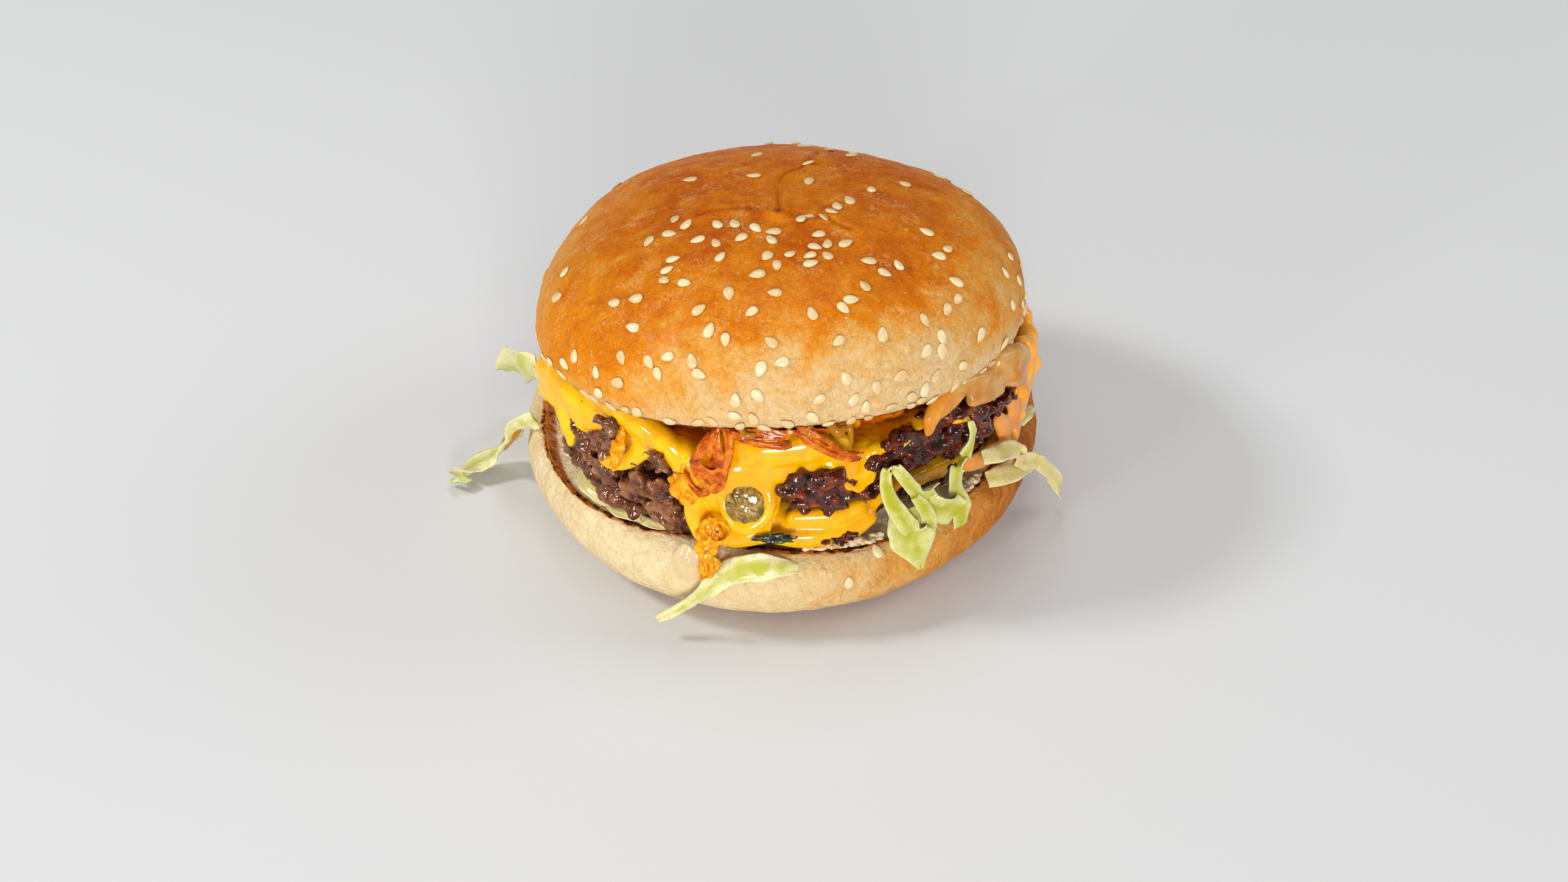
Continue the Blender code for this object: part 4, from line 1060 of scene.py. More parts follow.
def patty_finish():
    """Seared mince, wet with fat: dark mahogany, browner on the left, and darker in the creases by painted
    shade.
    """
    look = Finish("seared_mince")
    left = look.painted("left")
    lump = look.painted("lump")
    cloud = look.mottle(6 * MM, 3.0, 0.6, 0.6) - 0.5
    grain = look.mottle(1.4 * MM, 4.0, 0.65) - 0.5
    # Painted shade: lump is low in the creases, so the colour there is darker
    level = 0.42 + cloud * 1.1 + grain * 0.6 + lump * 0.40
    dark = look.ramp(level, (0.10, tone(26, 6, 2)), (0.40, tone(74, 22, 6)), (0.70, tone(126, 50, 16)),
                     (1.0, tone(162, 92, 46)))
    light = look.ramp(level, (0.08, tone(46, 18, 6)), (0.36, tone(106, 56, 26)), (0.66, tone(146, 96, 58)),
                      (1.0, tone(192, 148, 108)))
    colour = look.mix(left, dark, light)
    red = look.mottle(3.4 * MM, 2.0, 0.5, 0.6).rising(0.54, 0.68)
    colour = look.mix(red * (0.5 - left * 0.38), colour, tone(136, 40, 4))
    raw = look.mottle(4.6 * MM, 3.0, 0.6, 0.8).rising(0.58, 0.72)
    colour = look.mix(raw * (0.15 + left * 0.3), colour, tone(176, 132, 100))
    wet = look.mottle(2.2 * MM, 3.0).rising(0.38, 0.60)
    return look.surface(colour, 0.42 - wet * 0.14, [(look.mottle(1.5 * MM, 2.0, 0.5), 0.7, 0.8 * MM),
                                                    (look.mottle(0.7 * MM, 2.0, 0.5), 0.5, 0.3 * MM)],
                        Coat_Weight=1.0, Coat_Roughness=0.07, Specular_IOR_Level=0.0)


# Cheese

DRAPE_STEPS = 720
DRAPE_LOW = 20 * MM
DRAPE_HIGH = 62 * MM
DRAPE_ROWS = 85


def drape_field(items):
    """Softened outline of what the cheese lies on: radius by angle and height."""
    trees = []
    for item in items:
        shape = bmesh.new()
        shape.from_mesh(item.data)
        trees.append(BVHTree.FromBMesh(shape))
        shape.free()
    field = np.zeros((DRAPE_STEPS, DRAPE_ROWS))
    for i in range(DRAPE_STEPS):
        way = polar(360 * i / DRAPE_STEPS, 1.0)
        for j in range(DRAPE_ROWS):
            height = DRAPE_LOW + (DRAPE_HIGH - DRAPE_LOW) * j / (DRAPE_ROWS - 1)
            start = way * 80 * MM + Vector((0, 0, height))
            for tree in trees:
                hit = tree.ray_cast(start, -way)[0]
                if hit:
                    field[i, j] = max(field[i, j], math.hypot(hit.x, hit.y))
    field = np.maximum(field, 46 * MM)
    for width in (4, 3):
        weights = np.exp(-(np.arange(-3 * width, 3 * width + 1) / width) ** 2 / 2)
        weights /= weights.sum()
        reach = len(weights) // 2
        padded = np.concatenate([field[-reach:], field, field[:reach]])
        field = sum(weight * padded[k:k + DRAPE_STEPS] for k, weight in enumerate(weights))
        padded = np.concatenate([field[:, :1]] * reach + [field] + [field[:, -1:]] * reach, axis=1)
        field = sum(weight * padded[:, k:k + DRAPE_ROWS] for k, weight in enumerate(weights))
    return field


def draped(field, angle, height):
    """Value of the softened outline at an angle and height."""
    i = int(round((angle % 360) / 360 * DRAPE_STEPS)) % DRAPE_STEPS
    row = (height - DRAPE_LOW) / (DRAPE_HIGH - DRAPE_LOW) * (DRAPE_ROWS - 1)
    j = int(min(max(row, 0), DRAPE_ROWS - 2))
    part = min(max(row - j, 0), 1)
    return field[i, j] * (1 - part) + field[i, j + 1] * part


# Thick runs and folds of the melted slices: points, radii
CHEESE_UPPER_RUNS = (
    (((-90, 53.6, 46.0), (-86, 54.4, 42.0), (-82, 54.8, 38.4)), (4.0, 4.8, 4.2)),
    (((-76, 54.6, 48.0), (-69, 55.8, 44.6), (-63, 56.8, 40.6), (-59.0, 57.8, 36.4)),
     (3.8, 4.0, 3.4, 2.2)),
    (((-60, 54.0, 48.0), (-55, 54.6, 46.0), (-51.6, 55.4, 43.4)), (3.6, 3.8, 3.2)),
    (((-52, 53.4, 52.0), (-44, 54.0, 52.2), (-36, 54.6, 51.0), (-29, 55.0, 48.6), (-24.6, 55.6, 45.4)),
     (3.6, 4.0, 4.2, 3.9, 3.2)),
    (((-23.0, 56.4, 43.0), (-20.6, 56.6, 37.0), (-20.2, 57.0, 31.0), (-18.8, 57.6, 26.4)),
     (3.0, 3.2, 3.2, 2.6)),
    (((-12, 54.0, 52.0), (-7, 54.6, 50.6), (-1, 54.6, 50.8), (6, 54.4, 51.4), (13, 54.0, 50.2)),
     (3.8, 4.6, 4.4, 4.4, 3.8)),
    (((-4.4, 55.4, 46.0), (-4.6, 55.8, 40.0), (-5.4, 56.4, 33.0)), (3.4, 3.2, 3.2)),
    (((-16.4, 57.0, 26.8), (-11, 57.4, 26.8), (-5.6, 57.0, 27.6)), (2.8, 3.0, 2.6)),
    (((-34.0, 56.0, 46.0), (-36.4, 57.0, 42.6), (-39.2, 57.6, 40.2), (-42.4, 57.8, 38.2),
      (-46.0, 57.8, 36.4)), (2.8, 2.5, 2.4, 2.1, 1.3)),
    (((22.6, 54.8, 46.4), (20.6, 55.2, 43.0), (18.4, 55.6, 41.0)), (3.0, 2.8, 2.2)),
    (((116, 53.8, 37.6), (118, 54.4, 33.6), (119, 54.8, 30.2), (119.4, 55.0, 27.6)), (3.4, 3.0, 2.4, 1.8)),
    (((164, 54.0, 36.0), (162, 54.8, 32.8), (161, 55.2, 30.2)), (3.6, 3.2, 2.4)),
    (((-160, 53.0, 36.0), (-157, 53.8, 32.4), (-156, 54.2, 29.0), (-155.6, 54.4, 26.8)),
     (3.4, 3.0, 2.4, 1.8)),
    (((-124, 54.2, 37.0), (-121, 55.0, 33.6), (-120, 55.2, 31.0)), (3.6, 3.2, 2.4)),
)
CHEESE_LOWER_RUNS = (
    (((-2, 56.0, 26.6), (4, 56.4, 26.0), (10, 56.4, 26.0), (16, 56.2, 26.2), (20.5, 55.8, 28.0)),
     (2.4, 2.8, 2.8, 2.6, 2.2)),
    (((3, 54.8, 30.6), (12, 55.2, 30.4), (18, 55.0, 31.6)), (2.8, 2.8, 2.4)),
    (((140, 51.6, 28.0), (142, 52.4, 25.6), (143, 52.8, 23.4)), (2.6, 2.4, 1.8)),
    (((-176, 51.2, 28.0), (-174, 52.0, 25.6), (-173, 52.4, 23.8)), (2.6, 2.4, 1.8)),
)


def gherkin_collar():
    """Cheese that swells up round the gherkin slice."""
    angle, radius, height = GHERKIN_PLACE
    beads = []
    turn = facing(angle)
    for k in range(26):
        way = 2 * math.pi * k / 26
        local = Vector((math.cos(way) * (GHERKIN_SIZE[0] + 0.9 * MM),
                        math.sin(way) * (GHERKIN_SIZE[1] + 0.9 * MM), -0.7 * MM))
        size = (1.7 + 0.5 * math.sin(way + 2.6) + 0.3 * math.sin(3 * way)) * MM
        beads.append((polar(angle, radius * MM, height * MM) + turn @ local, size, (1, 1, 1), 0.0))
    return beads


def cheese_piece(name, title, radius, lobes, hem, least, field, flow, beads, finish):
    """A melted slice that hangs over the meat down to a thick, uneven hem."""
    level = level_of(name)
    around = 720
    outer_rows = 34
    hem_rows = 9
    columns = []
    for i in range(around):
        angle = 360 * i / around
        angle = angle - 360 if angle > 180 else angle
        edge = lobed(angle, radius, lobes) + 0.7 * MM * noise.noise(polar(angle, 3.1, 7.0))
        spot = polar(angle, edge - CHEESE_SKIN)
        under = boundary(level, spot.x, spot.y) + LAYER_GAP / 2
        over = boundary(level + 1, spot.x, spot.y) - LAYER_GAP / 2
        drip = 0.7 * noise.noise(polar(angle, 14.0, 1.0 + level)) + 0.4 * noise.noise(polar(angle, 40.0, 3.0))
        bottom = min((along(hem, angle) + drip) * MM, under - least)
        shoulder = min(3.6 * MM, 0.5 * (over - bottom))
        points = []

        def skin(height, share):
            """Radius of the slice's outside at a height."""
            base = edge - 0.5 * MM * share
            way = math.radians(angle)
            broad = Vector((math.sin(way) * 6.5, math.cos(way) * 6.5, height / (15 * MM) + level))
            fine = polar(angle, 15.0, height / (6 * MM) + 4 * level)
            wave = flow * (noise.noise(broad) + 0.45 * noise.noise(fine))
            rest = draped(field, angle, height) + 1.2 * MM
            roll = 0.6 * MM * math.exp(-((height - bottom - 1.2 * MM) / (1.5 * MM)) ** 2)
            return max(min(max(base + wave - 0.5 * MM, rest), base + 1.8 * MM), base - 2.2 * MM) + roll

        for k in range(8):
            turn = math.radians(90 * k / 8)
            height = over - 0.2 * MM - (shoulder - 0.2 * MM) * (1 - math.cos(turn))
            reach = skin(over - shoulder, 0.0)
            points.append(polar(angle, reach - 3.8 * MM * (1 - math.sin(turn)), height))
        low = bottom + 1.0 * MM
        top = over - shoulder
        for k in range(outer_rows):
            share = k / (outer_rows - 1)
            height = top + (low - top) * share
            points.append(polar(angle, skin(height, share), height))
        out = skin(low, 1.0)
        thick = min(CHEESE_SKIN, 2.0 * MM)
        for k in range(1, hem_rows):
            turn = math.pi * k / hem_rows
            height = low - 1.0 * MM * math.sin(turn)
            points.append(polar(angle, out - thick / 2 * (1 - math.cos(turn)), height))
        for share in (0.0, 0.35, 0.7, 1.0):
            height = low + (under - low) * share
            points.append(polar(angle, min(out - thick, skin(height, 1 - share) - thick), height))
        columns.append(points)
    rows = [[column[j] for column in columns] for j in range(len(columns[0]))]
    rows.reverse()
    under_ring = []
    over_ring = []
    for i in range(around):
        spot = polar(360 * i / around, INNER_RADIUS)
        under_ring.append(Vector((spot.x, spot.y, boundary(level, spot.x, spot.y) + LAYER_GAP / 2)))
        over_ring.append(Vector((spot.x, spot.y, boundary(level + 1, spot.x, spot.y) - LAYER_GAP / 2)))
    sheet = closed_rings(title, [under_ring] + rows + [over_ring])
    whole = joined(title, [sheet, balls(title + "_runs", beads)])
    mesh = thinned(melted(whole, CHEESE_CELL, SKIN_SMOOTHED))
    mesh.name = title
    mesh.shade_smooth()
    shade(mesh, "right", lambda spot: step_up(angle_of(spot.x, spot.y), 30, 75)
          * (1 - step_up(angle_of(spot.x, spot.y), 130, 170)))
    return piece(mesh, finish, "cheese", name)


def cheese_finish():
    """Melted yellow-orange cheese with pepper specks, paler where sauce has run in."""
    look = Finish("melted_cheese")
    cloud = look.mottle(9 * MM, 3.0, 0.5, 0.8)
    deep = look.mottle(4 * MM, 2.0, 0.5, 0.6)
    colour = look.mix(cloud.rising(0.35, 0.7), tone(250, 188, 0), tone(242, 166, 0))
    colour = look.mix(deep.rising(0.52, 0.78) * 0.5, colour, tone(228, 136, 0))
    milky = look.mottle(7 * MM, 3.0, 0.6, 1.4, (1.0, 1.0, 0.6)).rising(0.60, 0.72)
    right = look.painted("right")
    colour = look.mix(milky * (0.12 + right * 0.5), colour, tone(240, 192, 120))
    colour = look.mix(right * 0.45, colour, tone(228, 152, 64))
    pepper = look.specks(0.42 * MM, 2.9 * MM, 0.22)
    colour = look.mix(pepper * 0.85, colour, tone(92, 48, 14))
    ripple = look.mottle(3.0 * MM, 2.0, 0.45, 0.8)
    return look.surface(colour, 0.34 + deep * 0.12, [(ripple, 0.4, 0.8 * MM)], Subsurface_Weight=0.06,
                        Subsurface_Radius=(1.0, 0.45, 0.02), Subsurface_Scale=1.4 * MM,
                        Coat_Weight=0.6, Coat_Roughness=0.09, Coat_IOR=1.7, Specular_IOR_Level=0.0)


# Sauces


def run_of(path, radii, squash=0.75, count=26):
    """Beads along a path that runs down the filling; path points are (angle, radius, height) in mm."""
    points = spline([polar(a, r * MM, h * MM) for a, r, h in path], count)
    beads = []
    for k, spot in enumerate(points):
        size = blend(radii, k / (count - 1)) * MM
        beads.append((spot, size, (1.0, squash, 1.0), math.atan2(spot.x, -spot.y)))
    return beads


def poured(title, beads, voxel, smooth, finish, slot, *replaced):
    """Sauce run together from beads."""
    mesh = melted(balls(title, beads), voxel, smooth)
    mesh.name = title
    mesh.shade_smooth()
    return piece(mesh, finish, slot, *replaced)


def sauce_beads():
    """The burger sauce that wells out on the right, as the solid has it, in soft lobes."""
    beads = []
    for k in range(45):
        share = k / 44
        angle = SAUCE_OUTLINE[0][0] + (SAUCE_OUTLINE[-1][0] - SAUCE_OUTLINE[0][0]) * share
        low, high, outer = (along(SAUCE_OUTLINE, angle, column) for column in (1, 2, 3))
        size = min((high - low) / 2, SAUCE_SKIN / MM / 2) * (0.75 + 0.25 * math.sin(math.pi * share))
        steps = max(2, int((high - low) / 2.2))
        for j in range(steps):
            height = low + size * 0.9 + (high - low - 1.8 * size) * j / max(steps - 1, 1)
            lumpy = 1 + 0.16 * noise.noise(polar(angle, 9.0, height / 4))
            place = polar(angle, (outer - size * 0.95) * MM, height * MM)
            beads.append((place, size * lumpy * MM, (1, 1, 1), 0.0))
    for angle, radius, height, size in SAUCE_LOBES:
        beads.append((polar(angle, radius * MM - 0.8 * MM, height * MM), size * MM, (1, 1, 1), 0.0))
    return beads


# Swellings of the orange sauce: (angle, radius, height, size) in millimetres
SAUCE_LOBES = ((80, 60.0, 43.6, 3.2), (88, 60.4, 41.5, 3.6), (92, 59.8, 44.6, 3.0), (84, 61.6, 36.8, 3.3),
               (97, 59.2, 43.0, 3.2), (104, 58.6, 40.0, 3.0), (76, 60.6, 47.4, 3.4), (72, 60.4, 50.4, 3.2),
               (68, 60.6, 41.5, 2.6), (72, 60.8, 37.0, 2.6), (70, 60.8, 32.6, 2.4), (66, 60.6, 29.5, 2.2))
# Pale sauce that runs out under the top bun on the right: points, radii of the run
CREAM_RUNS = (
    (((73, 59.0, 46.0), (69, 59.8, 50.0), (64, 60.0, 53.6), (59, 58.8, 56.0)), (2.6, 3.6, 3.8, 3.0)),
    (((70, 60.0, 43.6), (66, 61.0, 46.8), (62, 60.8, 50.6)), (1.4, 2.6, 3.2)),
    (((61, 59.0, 51.6), (55, 58.4, 53.6), (49, 57.8, 55.6), (43, 57.2, 57.6)), (3.4, 3.0, 2.8, 2.4)),
    (((58, 60.0, 48.4), (53, 59.4, 50.6), (48, 58.8, 52.2)), (1.2, 2.2, 2.2)),
)
# Thick drop of sauce that hangs over the meat at the front right
TAN_RUNS = (
    (((45, 56.8, 57.4), (40.6, 57.6, 56.8), (37.0, 58.2, 55.8), (34.6, 59.0, 54.0), (33.4, 59.8, 51.4)),
     (2.2, 2.6, 2.7, 2.3, 1.3)),
    (((46, 57.6, 55.4), (41.4, 58.2, 54.8), (37.4, 58.8, 53.8)), (1.6, 2.0, 1.4)),
)
# Peach sauce below the char at the right
PEACH_RUNS = (
    (((64, 58.6, 43.0), (67.4, 59.6, 38.0), (69, 59.8, 32.0), (69.6, 59.8, 26.4)), (2.2, 3.2, 3.6, 2.8)),
    (((60, 58.6, 38.0), (63, 59.2, 33.0), (65, 59.4, 27.4)), (2.2, 3.2, 2.8)),
    (((45, 58.0, 33.4), (50, 58.6, 32.0), (55, 58.9, 30.6), (60, 59.2, 28.6)), (1.6, 2.6, 3.0, 2.6)),
)
# Honey-coloured drops along the top bun's edge
HONEY_DROPS = (
    (((15.2, 56.2, 58.6), (15.3, 57.6, 56.4), (15.4, 58.0, 53.4)), (1.0, 0.8, 0.45)),
    (((6.0, 56.8, 58.8), (6.1, 57.8, 57.0), (6.1, 58.0, 55.8)), (1.2, 1.0, 0.6)),
    (((11.0, 56.8, 58.6), (12.4, 57.9, 57.2), (13.6, 57.4, 57.6)), (1.2, 1.4, 1.0)),
    (((-9.0, 57.4, 58.8), (-7.6, 58.2, 57.8), (-6.2, 58.0, 57.8)), (0.8, 0.9, 0.8)),
)
CHAR_FLAKES = ((9.4, 58.8, 26.0, 0.9), (14.8, 58.6, 26.4, 1.6), (12.4, 58.8, 25.8, 1.5),
               (20.4, 57.6, 38.2, 1.5), (18.2, 57.8, 37.8, 1.4),
               (23.0, 57.4, 38.0, 1.2))
GLAZE_RUNS = (
    (((-21.6, 61.0, 23.6), (-22.4, 62.4, 20.4), (-21.2, 63.4, 17.4), (-20.2, 64.0, 15.0)),
     (1.8, 2.6, 2.2, 1.2)),
    (((-19.0, 61.2, 23.0), (-18.4, 62.4, 20.4), (-19.6, 63.2, 18.0)), (1.6, 2.2, 1.8)),
)
AMBER_RUNS = ((((-82.0, 65.0, 23.2), (-83.8, 65.4, 20.2), (-85.4, 67.4, 16.6), (-87.4, 69.7, 12.2),
                (-90.0, 71.3, 8.2)), (0.9, 1.4, 1.9, 2.0, 1.2)),)


def sauce_finish(name, first, second, roughness, weight):
    look = Finish(name)
    cloud = look.mottle(5 * MM, 2.0, 0.5, 0.8)
    colour = look.mix(cloud.rising(0.35, 0.7), first, second)
    grain = look.mottle(1.4 * MM, 2.0)
    return look.surface(colour, roughness, [(grain, 0.15, 0.3 * MM)], Subsurface_Weight=weight,
                        Subsurface_Radius=(1.0, 0.6, 0.3), Subsurface_Scale=2.0 * MM, Coat_Weight=0.4,
                        Coat_Roughness=0.08, Specular_IOR_Level=0.1)


def glaze_finish(name, colour, alpha):
    """Clear, thin sauce that lets the food under it show."""
    look = Finish(name)
    grain = look.mottle(1.8 * MM, 2.0)
    return look.surface(colour, 0.10, [(grain, 0.3, 0.5 * MM)], Alpha=alpha, Coat_Weight=0.8,
                        Coat_Roughness=0.04, Specular_IOR_Level=0.05)


def runs(paths, squash=0.8):
    return [bead for path, radii in paths for bead in run_of(path, radii, squash)]


# Onions

ONION_STRANDS = {
    "onion_curl": ((-16.0, 57.4, 57.0), (-17.8, 59.4, 52.8), (-18.5, 60.1, 48.4),
                   (-15.6, 60.7, 43.6), (-12.4, 60.4, 46.8), (-13.0, 59.4, 53.4)),
    "onion_strand_left": ((-11.5, 57.0, 57.6), (-7.0, 58.2, 56.4), (-1.5, 58.6, 55.2), (2.2, 58.4, 54.8)),
    "onion_strand_right": ((3.6, 57.4, 57.0), (7.6, 58.8, 54.6), (12.4, 59.4, 51.4), (16.8, 59.6, 49.6)),
}
# Bundles of thin strands round them: points, how many, spread, widths
ONION_BUNDLES = (
    (((-14.2, 57.2, 59.0), (-11.2, 58.2, 57.2), (-7.6, 58.4, 56.2), (-3.0, 58.6, 55.2), (0.6, 58.4, 55.6)),
     7, 0.9, (0.9, 1.8)),
    (((-12.0, 57.0, 58.6), (-8.0, 57.6, 58.0), (-3.0, 57.8, 57.0), (2.0, 57.6, 56.6)), 5, 0.7, (0.8, 1.6)),
    (((1.0, 57.2, 58.4), (5.4, 58.4, 56.6), (9.2, 59.2, 54.0), (13.0, 59.8, 51.2), (17.0, 60.0, 49.4)),
     5, 0.55, (0.8, 1.7)),
    (((4.0, 56.8, 58.2), (8.0, 57.4, 57.8), (12.0, 57.4, 57.6)), 3, 0.4, (0.9, 1.5)),
    (((-13.8, 57.4, 59.0), (-15.6, 59.2, 55.6), (-17.6, 60.2, 52.0), (-18.6, 60.4, 48.6),
      (-17.6, 60.4, 45.2)), 5, 0.7, (0.9, 1.9)),
    (((-13.6, 57.6, 58.6), (-14.0, 59.4, 55.4), (-12.8, 60.4, 51.2), (-12.2, 60.8, 47.2), (-13.8, 61.0, 43.6),
      (-16.4, 60.8, 44.2)), 6, 0.6, (0.9, 1.8)),
    (((-21.6, 59.4, 46.0), (-19.8, 60.4, 43.4), (-17.4, 60.8, 41.6), (-15.4, 60.8, 42.4)),
     3, 0.7, (0.9, 1.5)),
    (((-14.6, 57.0, 57.0), (-15.6, 58.6, 53.0), (-15.8, 59.2, 49.0), (-15.2, 59.4, 45.6)),
     5, 0.6, (1.6, 2.6)),
    (((-20.0, 59.4, 50.4), (-17.6, 60.8, 48.2), (-14.6, 61.2, 46.6), (-12.0, 60.6, 47.6)),
     4, 0.6, (0.8, 1.6)),
    (((-12.2, 57.6, 58.0), (-11.4, 59.2, 54.0), (-11.8, 60.4, 49.6), (-13.4, 61.2, 46.2)),
     4, 0.6, (0.8, 1.6)),
    (((-6.0, 57.4, 59.0), (-1.0, 58.0, 58.0), (3.0, 57.8, 57.6)), 4, 0.5, (0.8, 1.4)),
)


def bundle(rows, draw):
    """Thin strands that follow each path loosely."""
    strands = []
    for points, count, spread, (narrow, wide) in rows:
        for _ in range(count):
            side = draw.gauss(0, spread * 0.8)
            path = [(a + side * 0.6 + draw.gauss(0, spread * 0.35), r - draw.uniform(0.1, 1.0),
                     h + side + draw.gauss(0, spread * 0.35)) for a, r, h in points]
            strands.append(strand_mesh("onion_thread", path, draw.uniform(narrow, wide) * MM, 0.65 * MM,
                                       draw.uniform(-1.5, 1.5)))
    return strands


def strand_mesh(name, points, width, thickness, turns=0.0, ridges=5):
    """A soft ridged strand along a path, flat against the filling."""
    steps = 64
    around = 16
    path = spline([polar(a, r * MM, h * MM) for a, r, h in points], steps)
    rings = []
    for k, spot in enumerate(path):
        place = k / (steps - 1)
        ahead = (path[min(k + 1, steps - 1)] - path[max(k - 1, 0)]).normalized()
        outward_way = Vector((spot.x, spot.y, 0)).normalized()
        side = ahead.cross(outward_way).normalized()
        face = side.cross(ahead).normalized()
        swing = turns * place + 0.5 * noise.noise(spot / (5 * MM))
        turned = side * math.cos(swing) + face * math.sin(swing)
        face = face * math.cos(swing) - side * math.sin(swing)
        side = turned
        end = min(1.0, 0.30 + 5 * place, 0.30 + 5 * (1 - place))
        end *= 1 + 0.25 * noise.noise(spot / (4 * MM) + Vector((1, 2, width)))
        ring = []
        for j in range(around):
            turn = 2 * math.pi * j / around
            ridge = 1 + 0.14 * math.cos(ridges * turn + 4 * place)
            ring.append(spot + (side * math.cos(turn) * width / 2 + face * math.sin(turn) * thickness / 2)
                        * end * ridge)
        rings.append(ring)
    return closed_rings(name, rings)


def onion_finish(name, light, dark):
    """Caramelised onion: amber, wet and translucent, with fibres along it."""
    look = Finish(name)
    cloud = look.mottle(3.0 * MM, 3.0, 0.6, 0.8)
    fibre = look.mottle(0.8 * MM, 3.0, 0.6, 0.3, (1.0, 1.0, 2.4))
    colour = look.ramp(cloud * 0.8 + fibre * 0.3, (0.34, dark), (0.54, light), (0.76, tone(240, 152, 24)))
    return look.surface(colour, 0.30, [(cloud, 0.3, 0.5 * MM), (fibre, 0.35, 0.3 * MM)],
                        Subsurface_Weight=0.10, Subsurface_Radius=(1.0, 0.35, 0.05),
                        Subsurface_Scale=1.0 * MM, Coat_Weight=0.6, Coat_Roughness=0.07,
                        Specular_IOR_Level=0.0)


# Crisp-fried onion

CRISPS = {
    "crispy_onion_upper": ((-21.6, 59.0, 41.8), (3.5 * MM, 4.4 * MM, 1.5 * MM)),
    "crispy_onion_lower": ((-16.6, 60.6, 27.6), (2.8 * MM, 5.0 * MM, 1.5 * MM)),
}


def facing(angle, slope=25):
    """Turn that lays a flat thing on the filling's side: its Z looks outwards and up by the slope."""
    return Matrix.Rotation(math.radians(angle), 3, "Z") @ Matrix.Rotation(math.radians(90 - slope), 3, "X")


def crumbly(name, place, size, roughness, craggy, slope=25, detail=5, lumpy=1.9):
    """A rounded piece on the filling's side, craggy by the given depth."""
    angle, radius, height = place
    shape = bmesh.new()
    bmesh.ops.create_icosphere(shape, subdivisions=detail, radius=1.0)
    turn = facing(angle, slope)
    centre = polar(angle, radius * MM, height * MM)
    for vert in shape.verts:
        rough = 1 + roughness * noise.noise(vert.co * lumpy + Vector((height, angle, 0)))
        local = Vector((vert.co.x * size[0], vert.co.y * size[1], vert.co.z * size[2])) * rough
        spot = centre + turn @ local
        flakes = noise.noise(spot / (1.5 * MM)) + 0.8 * noise.noise(spot / (0.7 * MM))
        vert.co = spot + (turn @ vert.co).normalized() * craggy * flakes
    mesh = bpy.data.meshes.new(name)
    shape.to_mesh(mesh)
    shape.free()
    mesh.shade_smooth()
    return mesh


def crisp_finish():
    look = Finish("crisp_fried_crumb")
    cloud = look.mottle(1.8 * MM, 4.0, 0.65, 0.5)
    colour = look.ramp(cloud, (0.30, tone(164, 80, 0)), (0.44, tone(216, 136, 6)),
                       (0.58, tone(236, 164, 18)), (0.78, tone(248, 206, 90)))
    fine = look.mottle(0.6 * MM, 3.0, 0.65)
    return look.surface(colour, 0.36, [(cloud, 0.5, 0.6 * MM), (fine, 0.6, 0.35 * MM)],
                        Subsurface_Weight=0.08, Subsurface_Radius=(1.0, 0.55, 0.1), Subsurface_Scale=0.8 * MM,
                        Coat_Weight=0.35, Coat_Roughness=0.08, Specular_IOR_Level=0.0)


def gherkin_finish():
    look = Finish("gherkin_skin")
    ring = look.mottle(2.4 * MM, 3.0, 0.6, 1.2)
    colour = look.ramp(ring, (0.3, tone(66, 46, 10)), (0.48, tone(132, 98, 30)), (0.60, tone(176, 140, 62)),
                       (0.76, tone(206, 176, 110)))
    return look.surface(colour, 0.2, [(look.mottle(2.0 * MM, 2.0, 0.5, 1.0), 0.7, 1.0 * MM)],
                        Subsurface_Weight=0.1, Subsurface_Radius=(0.8, 0.7, 0.3), Subsurface_Scale=1.5 * MM,
                        Coat_Weight=1.0, Coat_Roughness=0.03, Specular_IOR_Level=0.1)


def pepper_finish():
    look = Finish("roasted_pepper")
    cloud = look.mottle(1.6 * MM, 3.0)
    colour = look.ramp(cloud, (0.3, tone(22, 26, 16)), (0.6, tone(52, 62, 34)), (0.8, tone(120, 122, 66)))
    return look.surface(colour, 0.3, [(cloud, 0.7, 0.6 * MM)], Coat_Weight=0.5, Coat_Roughness=0.08,
                        Specular_IOR_Level=0.1)


# Lettuce

LETTUCE = {
    "lettuce_front": (
        ((3.0, 61.8, 21.8), (-5.0, 62.0, 22.0), (-12.0, 63.2, 20.6), (-16.5, 65.6, 15.6),
         (-21.0, 66.6, 10.4), (-26.0, 68.4, 6.2)),
        (2.6, 6.6, 6.4, 4.4, 2.8, 0.9), (-50, -50, -45, -20, 0, 10), 0.9),
    "lettuce_strip_left": (
        ((-79.0, 61.4, 26.2), (-82.0, 65.6, 22.6), (-86.5, 67.8, 14.0), (-90.0, 72.0, 6.6),
         (-88.5, 78.5, 4.0), (-85.0, 84.0, 3.2)),
        (4.5, 5.5, 6.5, 7.0, 7.5, 5.0), (15, 25, 45, 75, 85, 70), 0.8),
    "lettuce_back_left": (
        ((-97.0, 61.4, 28.0), (-100.0, 66.2, 26.0), (-104.5, 70.4, 20.6), (-108.5, 75.6, 14.6)),
        (6.0, 11.0, 11.0, 5.0), (10, 15, 25, 40), 1.1),
    "lettuce_strip_right": (
        ((53.0, 60.4, 25.2), (58.0, 63.2, 25.0), (62.5, 65.0, 24.6), (66.5, 66.8, 22.4),
         (70.0, 69.0, 16.6), (73.0, 70.6, 10.0), (75.0, 71.0, 4.6)),
        (3.6, 5.8, 5.2, 4.0, 3.8, 3.8, 3.0), (-60, -65, -60, -20, 10, 10, 10), 0.7),
    "lettuce_bit_right": (
        ((76.0, 59.6, 24.5), (80.0, 61.2, 24.1), (84.0, 62.4, 22.9)),
        (2.6, 3.0, 1.6), (-75, -70, -60), 0.2),
}
